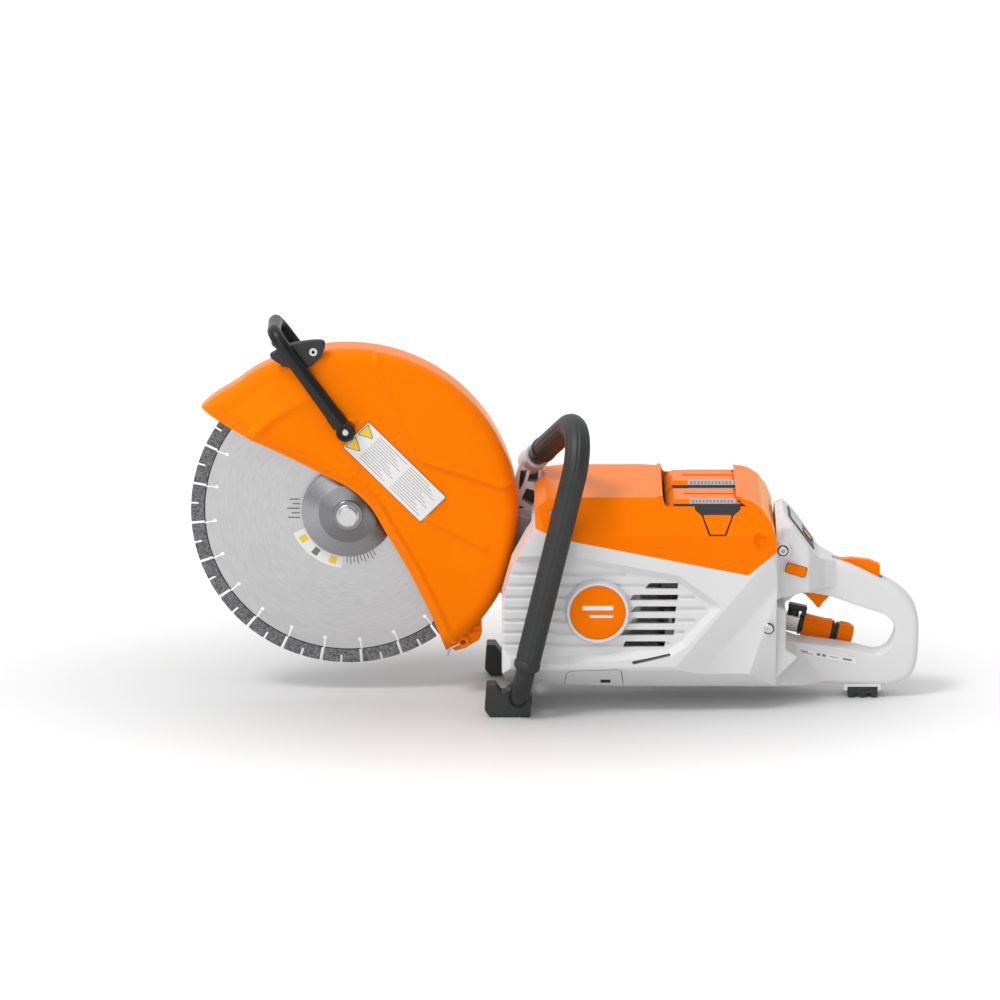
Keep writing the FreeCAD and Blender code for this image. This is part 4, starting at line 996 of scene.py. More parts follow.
def guard_label():
    """A blank white sticker with plain yellow patches and grey bars."""
    turn = math.radians(-45.1)
    middle = (52, 51.6)

    def place(a, b):
        return (middle[0] + a * math.cos(turn) - b * math.sin(turn),
                middle[1] + a * math.sin(turn) + b * math.cos(turn))

    def panel(low_a, low_b, high_a, high_b, depth, material, radius=0.0):
        corners = [place(low_a, low_b), place(high_a, low_b), place(high_a, high_b), place(low_a, high_b)]
        return painted(prism("panel", "side", rounded(corners, radius) if radius else corners,
                             depth, depth + 0.6), material)

    face = -18.9
    parts = [panel(-61, -20.5, 61, 20.5, face, grey_ink, 2),
             panel(-60.3, -19.8, 60.3, 19.8, face - 0.08, white_label, 2)]
    for b in (-19, 1.0):
        corners = [place(-59.5, b), place(-59.5, b + 18), place(-42.5, b + 9)]
        parts.append(painted(prism("patch", "side", rounded(corners, 1.2), face - 0.14, face), grey_ink))
        small = [place(-58.4, b + 1.6), place(-58.4, b + 16.4), place(-44.4, b + 9)]
        parts.append(painted(prism("patch", "side", rounded(small, 1), face - 0.2, face), yellow_ink))
    for column, (start, stop) in enumerate(((-40, 4), (8, 54))):
        for k in range(12):
            end = stop - (5 * ((k * 7 + column * 3) % 4))
            b = 16 - 2.9 * k
            parts.append(panel(start, b, end, b + 0.55, face - 0.13, grey_ink))
    finished(joined("label", *parts), "guard_sticker", "guard", weighted=False)


guard_lever()
lever_saddle()
guard_label()


# ---- body shells ----

HALF_WIDE = 92
# X, Z and the corner's radius of the housing seen from the side, then X, Y and radius in plan
SIDE = [(208, 3, 6), (197, -14, 8), (182, -42, 14), (171, -81, 14), (170, -105, 10), (171, -160, 6),
        (176, -177, 6), (475, -190, 3), (475, -21, 0), (443, -48, 0), (251, -10, 0)]
PLAN = [(171, -84, 10), (171, -22, 6), (204, -22, 4), (204, 44, 4), (214, 44, 3), (214, 80, 8), (226, 92, 8),
        (468, 92, 8), (475, 86, 3), (475, -86, 3), (468, -92, 8), (180, -92, 8)]
# X, Z of the step for the arm, the framed panel, and the louvres as (start, end) in X from the top down
ARM_RECESS = [(150, -7), (206, -7), (251, -21), (300, -33), (343, -36), (343, -230), (150, -230)]
PANEL = [(150, -28), (251, -28), (366, -50), (413, -84), (374, -128), (358, -139), (233, -148), (150, -136)]
LOUVRES = [(329, 366), (311.5, 366), (313.5, 364), (311.5, 363), (301.5, 362), (305, 352)]
LOUVRE_FIRST = -61.5
LOUVRE_PITCH = 13.3
MOTOR = (277, -90)


def drawn_in(outline, amount):
    """The corners of an outline moved inwards, for a wall or a draft. The outline keeps its corners."""
    count = len(outline)
    area = sum(outline[i][0] * outline[(i + 1) % count][1] - outline[(i + 1) % count][0] * outline[i][1]
               for i in range(count))
    turn = 1 if area > 0 else -1
    moved = []
    for i in range(count):
        here = Vector(outline[i][:2])
        before = (here - Vector(outline[i - 1][:2])).normalized()
        after = (Vector(outline[(i + 1) % count][:2]) - here).normalized()
        a = Vector((-before.y, before.x)) * turn
        b = Vector((-after.y, after.x)) * turn
        share = 1 + a.dot(b)
        moved.append(tuple(here + (a + b) * (amount / max(share, 0.3))))
    return moved


def facet(name, line, foot, side, floor):
    """A tool that bevels one side: from a line (X, Z) at the full width down to the point foot at floor."""
    (ax, az), (bx, bz) = line
    a = Vector((ax, (HALF_WIDE + 0.02) * side, az))
    b = Vector((bx, (HALF_WIDE + 0.02) * side, bz))
    c = Vector((foot[0], floor * side, foot[1]))
    normal = (b - a).cross(c - a).normalized()
    if normal.y * side < 0:
        normal = -normal
    along = (b - a).normalized()
    across = normal.cross(along)
    points = []
    for out in (0, 60):
        for i, j in ((-1, -1), (1, -1), (1, 1), (-1, 1)):
            points.append(a + along * 400 * i + across * 400 * j + normal * out)
    slab = solid(name, points,
                 [(0, 1, 2, 3), (4, 5, 6, 7), (0, 1, 5, 4), (1, 2, 6, 5), (2, 3, 7, 6), (3, 0, 4, 7)])
    low, high = sorted((side * floor, side * 200))
    low_x = min(ax, bx) - 1
    return common(slab, box("reach", (low_x, low, -260), (700, high, 100)))


def tail_wedges(name, top, inset=0):
    """The two corners that narrow the body towards the rear handle, low down."""
    wedges = []
    for side in (-1, 1):
        line = ((466 - inset * 1.4, top), (424 - inset * 1.4, -186))
        wedges.append(facet(name, line, (475, -190), side, 58 - inset))
    return wedges


def across_at(outline, up):
    """The lowest and highest X of an outline at a height."""
    hits = []
    for (ax, az), (bx, bz) in zip(outline, outline[1:] + outline[:1]):
        if (az > up) != (bz > up):
            hits.append(ax + (bx - ax) * (up - az) / (bz - az))
    return min(hits), max(hits)


def body_block():
    block = prism("body", "side", rounded(SIDE, 0, 4), -HALF_WIDE, HALF_WIDE)
    section = rounded([(-92, 60, 0), (-92, -155, 8), (-60, -183, 8), (-25, -192, 8), (25, -192, 8),
                       (60, -183, 8), (92, -155, 8), (92, 60, 0)], 0, 4)
    common(block, prism("plan", "plan", rounded(PLAN, 0, 4), -230, 40),
           prism("section", "front", section, 150, 490))
    cut(block, prism("recess", "side", rounded(ARM_RECESS, 4, 3), 45, 100), *tail_wedges("tail", -60))
    return tidy(block, 0.01, 0.5)


def body_hollow():
    wall = 3
    side = [p[:2] for p in SIDE]
    side = drawn_in(side, wall)[:-3] + [(472, 10), (443, -20), (251, 20)]
    hollow = prism("hollow", "side", side, -79.8, 79.8)
    section = [(-89, 60), (-89, -152), (-58, -179), (-24, -188), (24, -188), (58, -179), (89, -152), (89, 60)]
    common(hollow, prism("plan_in", "plan", drawn_in([p[:2] for p in PLAN], wall), -230, 40),
           prism("section_in", "front", section, 150, 490))
    add(hollow, common(prism("front_room", "side", side, -81, 89),
                       box("front_part", (100, -81, -150), (352, 89, 100))))
    cut(hollow, prism("recess_in", "side", drawn_in(ARM_RECESS, -3), 42, 100),
        *tail_wedges("tail_in", -60, 3.5))
    return hollow


HATCH = [(237, -206), (242, -163), (246, -158), (300, -155.5), (303.5, -158), (309.5, -206)]


def latch_block(half, out, deep):
    """A four-sided outline (Y, Z) on the hatch's sloping face, for its catch."""
    middle = Vector((-69, -175.2))
    along = Vector((0.753, -0.659))
    normal = Vector((-0.659, -0.753))
    corners = ((-1, out), (1, out), (1, deep), (-1, deep))
    return [tuple(middle + along * a * half + normal * b) for a, b in corners]


def parted(whole, gap, low, high):
    """Keeps the near half of a shell that lies between X low and high, and returns its far half."""
    far = copy_of(whole)
    common(whole, box("near_half", (low, -120, -260), (high, -gap, 80)))
    common(far, box("far_half", (low, gap, -260), (high, 120, 80)))
    return far


def housing():
    """The light housing: facets, the framed louvre panel, the hatch and its catch."""
    block = body_block()
    bevelled(block, 2.2, 3, 24)
    # behind the panel's frame the near side falls away in two facets
    for side in (-1, 1):
        for line, foot, floor in ((((437, -63), (362, -154)), (469, -66), 83.4),
                                  (((460, -38), (437, -63)), (475, -66), 85.5)):
            cut(block, facet("facet", line, foot, side, floor))
    panel = prism("panel", "side", rounded(drawn_in(PANEL, -2.5), 4), -92.5, -86,
                  rounded(drawn_in(PANEL, 6), 4))
    cut(block, panel)
    floor = drawn_in(PANEL, 9)
    grooves = []
    for k in range(-2, 7):
        up = LOUVRE_FIRST - LOUVRE_PITCH * k
        if not min(p[1] for p in floor) + 4 < up < max(p[1] for p in floor) - 4:
            continue
        low, high = across_at(floor, up)
        slope = [(-100, up + 2.9), (-83.7, up + 2.9), (-83.7, up - 0.6), (-86.1, up - 3.4), (-100, up - 3.4)]
        grooves.append(prism("groove", "front", slope, low, high - 1))
    cut(block, *grooves)
    slots = []
    for k, (start, stop) in enumerate(LOUVRES):
        up = LOUVRE_FIRST - LOUVRE_PITCH * k
        lean = 6 if k < 5 else 3
        slots.append(prism("slot", "side", [(start + lean, up + 3.4), (stop, up + 3.4), (stop - 1, up - 3.2),
                                            (start, up - 3.2)], -110, -70))
    ledge = prism("ledge", "side", rounded([(314, -146.5), (357, -137.5), (358, -140.5), (317, -150)], 1),
                  -100, -70)
    hatch_gap = prism("hatch_gap", "side", rounded(HATCH, 2), -100, -60)
    body = cut(block, body_hollow(), *slots, ledge)
    hatch = copy_of(body)
    common(hatch, prism("hatch_take", "side", rounded(drawn_in(HATCH, 0.8), 2), -100, -60))
    cut(body, hatch_gap, rod("hub_hole", 14.2, 38, 50, MOTOR[0], MOTOR[1]))
    tidy(body, 0.001, 0.05)
    bevelled(body, 0.35, 2, 40)
    bevelled(hatch, 0.35, 2, 40)
    cut(hatch, prism("latch_hole", "front", latch_block(4.4, 1, -8), 280.4, 291.6))
    far = parted(body, 0.1, 100, 520)
    finished(body, "housing_near_shell", "machine", light_grey, ["housing_left"], 28)
    finished(far, "housing_far_shell", "machine", light_grey, ["housing_right"], 28)
    finished(hatch, "service_hatch", "machine", light_grey, ["service_cover"], 28)
    catch = prism("catch", "front", latch_block(4.0, -0.2, -4), 280.8, 291.2)
    finished(bevelled(catch, 0.5, 2), "hatch_latch", "machine", black_plastic)


def badge():
    """The motor's round cap: a raised ring, an orange disc and plain white bars."""
    ring = lathe("ring", [(-86, 30.8), (-94.2, 30.8), (-95.2, 31.6), (-95.2, 33.6), (-93.4, 35.2),
                          (-88.5, 36.6), (-84, 36.6)], (MOTOR[0], 0, MOTOR[1]), steps=120)
    finished(ring, "badge_ring", "machine", light_grey, [], 30)
    disc = lathe("disc", [(-90, 0), (-94.6, 0), (-94.5, 20), (-94.0, 29.6), (-93.5, 30.5), (-90, 30.5)],
                 (MOTOR[0], 0, MOTOR[1]), steps=120)
    bars = []
    for low, high, down, tall in ((-17, 17, 3, 5), (-9, 17, -5.5, 3)):
        outline = rounded([(MOTOR[0] + low, MOTOR[1] + down), (MOTOR[0] + high, MOTOR[1] + down),
                           (MOTOR[0] + high, MOTOR[1] + down + tall),
                           (MOTOR[0] + low, MOTOR[1] + down + tall)], 1.2)
        bars.append(painted(prism("bar", "side", outline, -94.9, -93.8), white_label))
    finished(joined("badge", painted(disc, orange), *bars), "badge_disc_plain", "machine",
             nodes=["badge_disc"], weighted=False)


housing()
badge()


# the cover, drawn as the housing is, and the curve of its wall behind the batteries
COVER_SIDE = [(208, 3, 0), (207, 24, 5), (216, 34, 6), (240, 37, 20), (432, 37.4, 8), (446, 33.5, 8),
              (458, 25, 8), (467, 12, 8), (473, -4, 8), (475, -21, 2), (443, -48, 3), (251, -10, 8)]
BAY_REAR = [(424, 80), (430, 35), (441, 28), (451, 16), (459, 0), (464, -62)]
COVER_PLAN = [(200, -72, 8), (220, -92, 12), (480, -92, 0), (480, 92, 0), (226, 92, 8), (214, 80, 8),
              (214, 44, 3), (200, 36, 6)]


def cover_block(wall=0.0):
    side = [p[:2] for p in COVER_SIDE]
    if wall:
        inner = drawn_in(side, wall)
        side = inner[:-3] + [(470, -60), (443, -80), (215, -60)]
        side[0] = (211, -30)
        plan = drawn_in([p[:2] for p in COVER_PLAN], wall)
        section = [(-87, -90), (-87, -4), (-73, 36.5), (73, 36.5), (87, -4), (87, -90)]
    else:
        side = rounded(COVER_SIDE, 0, 4)
        plan = rounded(COVER_PLAN, 0, 4)
        section = rounded([(-92, -70, 0), (-92, -3, 6), (-77, 40, 8), (77, 40, 8), (92, -3, 6),
                           (92, -70, 0)], 0, 4)
    block = prism("cover", "side", side, -HALF_WIDE, HALF_WIDE)
    return common(block, prism("cover_plan", "plan", plan, -95, 60),
                  prism("cover_section", "front", section, 190, 490))


def cover():
    """The orange cover over the batteries' slots, with its creases, recesses and latch notches."""
    block = tidy(cover_block(), 0.01, 0.5)
    bevelled(block, 2.0, 3, 22)
    # a raised roof ahead of the batteries, with its edges falling away
    slope = prism("slope", "side", [(196, 10), (210, 26.5), (222, 36.5), (196, 60)], -100, 100)
    dents = []
    for side in (-1, 1):
        low, high = (-93.5, -87.6) if side < 0 else (87.6, 93.5)
        big = rounded([(449, 7), (465, -3), (466, -27), (452, -22), (445, -10)], 4)
        small = rounded([(456, -4), (460, -8), (460, -18), (457, -16), (454, -10)], 1.5)
        dents.append(prism("dent", "side", big if side < 0 else small, low, high, small if side < 0 else big))
        shoulder = facet("shoulder", ((251, 38), (371, 24)), (371, 36), side, 70)
        dents.append(common(shoulder, box("shoulder_reach", (240, -100, 10), (347, 100, 60))))
    cut(block, *dents)
    mouth = prism("mouth", "plan",
                  rounded([(348.5, -81.2), (465.5, -81.2), (465.5, 81.2), (348.5, 81.2)], 5), -60, 80)
    common(mouth, prism("bay", "side", [(340, -62), (340, 80)] + BAY_REAR, -90, 90))
    cut(block, slope)
    rim = common(copy_of(block),
                 prism("rim", "side", BAY_REAR[:-1] + [(461, -30), (490, -30), (490, 80)], -86, 86))
    cut(block, cover_block(3))
    add(block, rim)
    cut(block, mouth)
    bands = []
    for side in (-1, 1):
        notch = [(399.6, -3.4), (418.4, -3.4), (426.6, 17.5), (434, 24), (437, 45), (381, 45), (384, 24),
                 (391.4, 17.5)]
        low, high = sorted((side * 74, side * 110))
        bands.append(prism("notch", "side", notch, low, high))
    cut(block, *bands)
    add(block, box("front_lip", (344.5, -76, 30), (348.4, 76, 38.4)))
    tidy(block, 0.001, 0.05)
    bevelled(block, 0.4, 2, 40)
    cut(block, rod("screw_well_near", 4.6, -100, -82, 226, 22, 32),
        rod("screw_well_far", 4.6, 82, 100, 232, 22, 32))
    finished(block, "battery_cover", "machine", orange, ["top_cover"], 28)


def battery(side):
    """One battery: chamfered case, label strips and grip bands along its long edges."""
    name = "left" if side < 0 else "right"
    near = 7 if side > 0 else -79
    far = near + 72
    section = [(near, -60), (near, 15), (near + 6, 29), (near + 11, 33), (far - 11, 33), (far - 6, 29),
               (far, 15), (far, -60)]
    case = prism("case", "front", rounded(section, 2, 3), 351, 463)
    ends = prism("ends", "side", [(352.5, -60), (352.5, 22), (362, 34), (424, 34), (437, 28), (447.5, 15),
                                     (456, -2), (458.5, -60)], near - 1, far + 1)
    common(case, ends)
    bevelled(case, 1.6, 3, 25)
    grips = []
    for edge, out in ((near, -1), (far, 1)):
        grips.append(prism("grip", "front", [(edge + out * 2, 14), (edge + out * 2, 27),
                                             (edge - out * 5.4, 27.6), (edge - out * 1.2, 14)], 362, 436))
    cut(case, *grips)
    cut(case, prism("groove", "plan",
                    rounded([(372, near + 33), (442, near + 33), (442, near + 39), (372, near + 39)], 2.5),
                    31, 40))
    split = copy_of(case)
    common(case, box("upper", (340, near - 5, 13.5), (470, far + 5, 60)))
    common(split, box("lower", (340, near - 5, -80), (470, far + 5, 13.2)))
    body = joined("battery", painted(case, orange), painted(split, black_plastic))
    grip_strips = []
    for edge, out in ((near, -1), (far, 1)):
        strip = prism("strip", "front", [(edge - out * 0.1, 14.2), (edge - out * 5.9, 29),
                                         (edge - out * 9, 29), (edge - out * 6, 14.2)], 360, 438)
        grip_strips.append(painted(bevelled(strip, 0.5, 2), black_plastic))
        label = prism("label", "front", [(edge - out * 5.9, 29.2), (edge - out * 10.9, 33.2),
                                         (edge - out * 13, 33.2), (edge - out * 13, 32.6),
                                         (edge - out * 7, 29)], 378, 430)
        grip_strips.append(painted(label, steel_label))
        for k in range(12):
            dot = prism("dot", "front", [(edge - out * 6.9, 30.2), (edge - out * 9.6, 32.4),
                                         (edge - out * 9.8, 32), (edge - out * 7.3, 29.9)], 381 + 3.9 * k,
                        383 + 3.9 * k)
            grip_strips.append(painted(dot, grey_ink))
    finished(joined("battery", body, *grip_strips), f"battery_{name}_case", f"battery_{name}",
             nodes=[f"battery_{name}"], sharp=28)


def battery_latch(side):
    """A trapezoid latch in the cover's notch."""
    name = "left" if side < 0 else "right"
    key = [(401, -1.5), (417, -1.5), (425, 18), (393, 18)]

    def slab(outline, near_low, near_high, thick, radius, rounding):
        low_y, high_y = side * near_low, side * near_high
        bottom = min(p[1] for p in outline)
        top = max(p[1] for p in outline)
        section = [(low_y, bottom), (high_y, top), (high_y - side * thick, top),
                   (low_y - side * thick, bottom)]
        piece = prism("slab", "side", rounded(outline, radius), *sorted((side * 60, side * 100)))
        common(piece, prism("slab_section", "front", section, 380, 440))
        return bevelled(piece, rounding, 2, 35)

    latch = slab(key, 92.6, 84.2, 5, 1.5, 0.8)
    finished(latch, f"battery_latch_{name}_key", f"battery_latch_{name}", orange,
             [f"battery_latch_{name}"], 28)


steel_label = metal("SilverLabel", (0.45, 0.45, 0.46), 0.35)

cover()
for each in (-1, 1):
    battery(each)
    battery_latch(each)


# ---- rear handle and controls ----

# X, Z of the rear handle's outline and of the hole for the hand
HANDLE_SIDE = [(470, 8), (475, 5), (483, 11), (523, -43), (540, -50), (560, -56), (592, -72), (612, -83),
               (627, -98), (634, -114), (635.5, -128), (634.5, -160), (631, -176), (622, -188), (600, -195),
               (470, -190)]
HANDLE_OPENING = [(484, -98), (491, -96), (505, -87), (538, -92), (556, -98.5), (581, -107), (597, -112.5),
                  (606, -121), (609, -131), (606, -144), (600, -153), (590, -158), (579, -157), (555, -151),
                  (500, -144), (484, -140)]
SLOPE = math.radians(52.8)
UNLOCK = (497, -52, math.radians(-17))


def on_slope(down, out):
    """A point of the control panel's slope: along it from its upper edge, and out of its face."""
    return (485 + math.cos(SLOPE) * down + math.sin(SLOPE) * out,
            8.5 - math.sin(SLOPE) * down + math.cos(SLOPE) * out)


def handle_mass():
    """The loop with its wide head and the web that widens towards the body, melted into one moulding."""
    loop = prism("loop", "side",
                 curved(HANDLE_SIDE[2:-1], 3, closed=False) + [HANDLE_SIDE[-1], HANDLE_SIDE[0]], -17.5, 17.5)
    bevelled(loop, 6, 4, 40)
    head = prism("head", "side", [(466, 8), (475, 5), (483, 11), (523, -43), (540, -50), (545, -80),
                                  (505, -79), (489, -84), (466, -86)], -62, 62)
    common(head, prism("head_section", "front", [
        (-62, -120), (-62, -20), (-53, -6), (-27, 12), (27, 12), (53, -6), (62, -20), (62, -120)], 440, 560))
    plan = prism("head_plan", "plan", [(464, -62), (476, -62), (482, -50), (511, -50), (530, -26),
                                       (546, -16), (546, 16), (530, 26), (511, 50), (482, 50), (476, 62),
                                       (464, 62)], -110, 20)
    common(head, plan)
    bevelled(head, 4, 3, 30)
    web = prism("web", "plan", [(462, -66), (476, -58), (532, -17), (532, 10), (462, 10)], -190, -128,
                [(462, -66), (473, -60), (484, -17), (484, 10), (462, 10)])
    far_web = prism("far_web", "plan", [(462, 66), (476, 58), (540, 17), (540, -10), (462, -10)], -190, -160,
                    [(462, 66), (473, 60), (500, 17), (500, -10), (462, -10)])
    post = prism("post", "side", [(470, -90), (486, -96), (486, -142), (500, -150), (470, -180)], -60, 14)
    boss = rod("boss", 9, -64, -40, 482, -27, 32, 1)
    far_boss = rod("far_boss", 9, 40, 64, 482, -27, 32, 1)
    add(loop, head, web, far_web, post, boss, far_boss)
    opening = prism("opening", "side",
                    curved(HANDLE_OPENING[1:-1], 3, closed=False) + [(486, -139), (486, -98)], -90, 90)
    bevels = []
    for side in (-1, 1):
        corner = [(side * y, z) for y, z in ((100, -148), (60, -183), (25, -192), (25, -230), (100, -230))]
        bevels.append(prism("under", "front", corner, 440, 530))
    cut(loop, opening, *bevels)
    melted(loop, 1.45, 9)
    cut(loop, box("front_face", (440, -90, -230), (474.4, 90, 40)))
    return loop


def key_outline(half_long, half_tall, radius, steps=4):
    """The unlock key's turned oblong."""
    x, z, turn = UNLOCK
    corners = []
    for i, j in ((-1, -1), (1, -1), (1, 1), (-1, 1)):
        a, b = i * half_long, j * half_tall
        corners.append((x + a * math.cos(turn) - b * math.sin(turn),
                        z + a * math.sin(turn) + b * math.cos(turn)))
    return rounded(corners, radius, steps)


def rear_handle():
    handle = handle_mass()
    trigger_well = prism("trigger_well", "side", [(499, -64), (543, -70), (543, -114), (499, -114)], -7, 7)
    lever_well = prism("lever_well", "side",
                       [(538.5, -40), (594.5, -40), (594.5, -83), (560, -79), (538.5, -70)], -6.3, 6.3)
    display = prism("display_well", "side", [on_slope(6.5, 6), on_slope(55.5, 6), on_slope(55.5, -2.6),
                                             on_slope(6.5, -2.6)], -25.6, 25.6)
    key_well = prism("key_well", "side", key_outline(12.3, 6.3, 2, 5), -60, -40.8)
    wells = [rod("well", 6.4, -70, -62.8, 482, -27, 40), rod("well", 6.4, 62.8, 70, 482, -27, 40)]
    cut(handle, trigger_well, lever_well, display, key_well, *wells)
    cut(handle, water_tool("pipe_way", 7.4, -20, 4))
    far = parted(handle, 0.12, 440, 680)
    finished(handle, "rear_handle_near", "machine", light_grey, ["rear_handle_left"], 42,
             weighted=False)
    finished(far, "rear_handle_far", "machine", light_grey, ["rear_handle_right"], 42,
             weighted=False)


def screw_head(name, across, up, depth, side, radius=5.0):
    """A socket screw with a black ring round it. depth is the Y of its outer face."""
    low, high = sorted((depth, depth - side * 4))
    head = rod("head", radius, low, high, across, up, 40, 0.6)
    socket_low, socket_high = sorted((depth + side * 0.2, depth - side * 3.0))
    socket = rod("socket", radius * 0.52, socket_low, socket_high, across, up, 6)
    cut(head, socket)
    ring = lathe("ring", [(low + 1.5, radius + 0.1), (low + 1.5, radius + 1.3), (high - 1.5, radius + 1.3),
                          (high - 1.5, radius + 0.1)] if side else [], (across, 0, up), steps=48)
    return joined(name, painted(head, zinc), painted(ring, black_plastic))


def handle_screws():
    heads = []
    for side in (-1, 1):
        heads.append(screw_head("screw", 482, -27, side * 65.2, side))
        heads.append(screw_head("screw", 466, -111, side * 84.6, side))
    finished(joined("screws", *heads), "handle_screw_heads", "machine", nodes=["handle_screws"],
             sharp=25)


def controls():
    trigger = prism("trigger", "side", rounded([(502, -70), (512, -70), (538, -84), (537, -93), (529, -101),
                                                (524, -109), (517, -100), (509, -92), (502, -89)], 2.2, 3),
                    -6, 6)
    finished(bevelled(trigger, 1.6, 3, 35), "trigger_lever", "trigger", orange, ["trigger"], 30)
    lever = prism("lever", "side", rounded([(541, -56), (548, -51.5), (560, -50.5), (580, -53), (592, -58),
                                            (592, -72.5), (575, -71), (550, -68), (541, -66)], 2, 3), -5.5,
                  5.5)
    finished(bevelled(lever, 1.4, 3, 35), "lockout_lever_top", "lockout_lever", orange,
             ["lockout_lever"], 30)

    key = prism("key", "side", key_outline(11.5, 5.5, 2.2), -53, -44)
    finished(bevelled(key, 1.2, 3, 35), "unlock_key", "unlock_button", orange, ["unlock_button"],
             30)
    frame_ring = prism("frame", "side", key_outline(14, 8, 4), -51.4, -46)
    bevelled(frame_ring, 1, 2, 35)
    cut(frame_ring, prism("hole", "side", key_outline(12.2, 6.2, 2.6), -60, -40))
    finished(frame_ring, "unlock_frame", "machine", light_grey, [], 30)

    plate = prism("plate", "side",
                  [on_slope(7.3, 0.4), on_slope(54.7, 0.4), on_slope(54.7, -2.5), on_slope(7.3, -2.5)], -25,
                  25)
    bevelled(plate, 0.7, 2)
    glass = prism("glass", "side",
                  [on_slope(11, 0.75), on_slope(33, 0.75), on_slope(33, -1), on_slope(11, -1)], -19, 19)
    bevelled(glass, 0.4, 2)
    dots = []
    normal = Vector((math.sin(SLOPE), 0, math.cos(SLOPE)))
    for k in range(4):
        here = on_slope(16, 0)
        dots.append(painted(lathe("dot", [(0.4, 0), (0.4, 1.6), (0.95, 1.4), (0.95, 0)],
                                  (here[0], -9 + 6 * k, here[1]), normal, 16), white_label))
    here = on_slope(42, 0)
    centre = (here[0], 0, here[1])
    ring = lathe("ring", [(0, 7.4), (1.2, 7.8), (1.2, 9.2), (0, 9.6)], centre, normal, 40)
    cut(plate, lathe("hole", [(-6, 0), (-6, 7.35), (6, 7.35), (6, 0)], centre, normal, 40))
    finished(joined("panel", painted(plate, black_plastic), painted(glass, screen),
                    painted(ring, black_plastic), *dots), "control_panel_face", "machine",
             nodes=["control_panel"], sharp=30)
    button = lathe("button", [(-5, 0), (-5, 7), (0.4, 7), (1.2, 6.2), (1.0, 3), (0.8, 0)], centre, normal, 48)
    finished(button, "power_key", "power_button", orange, ["power_button"], 30)
    bars = []
    for low, high, down, thick in ((500, 512, 1.4, 1.4), (500, 518, 3.6, 0.7), (522, 526, 1.4, 2.8),
                                   (528, 532, 1.4, 2.8), (536, 546, 2.2, 0.7), (551, 561, 1.6, 2.0)):
        top = -150 - (low - 497) * 13 / 69 - down
        fall = (high - low) * 13 / 69
        bars.append(prism("bar", "side", [(low, top), (high, top - fall), (high, top - fall - thick),
                                          (low, top - thick)], -18.3, -17.6))
    finished(joined("bars", *bars), "type_plate_bars", "machine", grey_ink)


# ---- water fitting ----

# the middle of the valve's root, and the water line's slope
WATER = (484, 35, -131.2)
WATER_SLOPE = math.radians(13)
WATER_AXIS = Vector((math.cos(WATER_SLOPE), 0, -math.sin(WATER_SLOPE)))
WATER_UP = Vector((math.sin(WATER_SLOPE), 0, math.cos(WATER_SLOPE)))


def water_tool(name, radius, low, high):
    return lathe(name, [(low, 0), (low, radius), (high, radius), (high, 0)], WATER, WATER_AXIS, 48)


def water_block(name, low, high):
    """A box in the water line's own frame: along it, across it and up."""
    points = []
    for a in (low[0], high[0]):
        for b in (low[1], high[1]):
            for c in (low[2], high[2]):
                points.append(Vector(WATER) + WATER_AXIS * a + Vector((0, b, 0)) + WATER_UP * c)
    return solid(name, points,
                 [(0, 1, 3, 2), (4, 6, 7, 5), (0, 4, 5, 1), (2, 3, 7, 6), (0, 2, 6, 4), (1, 5, 7, 3)])


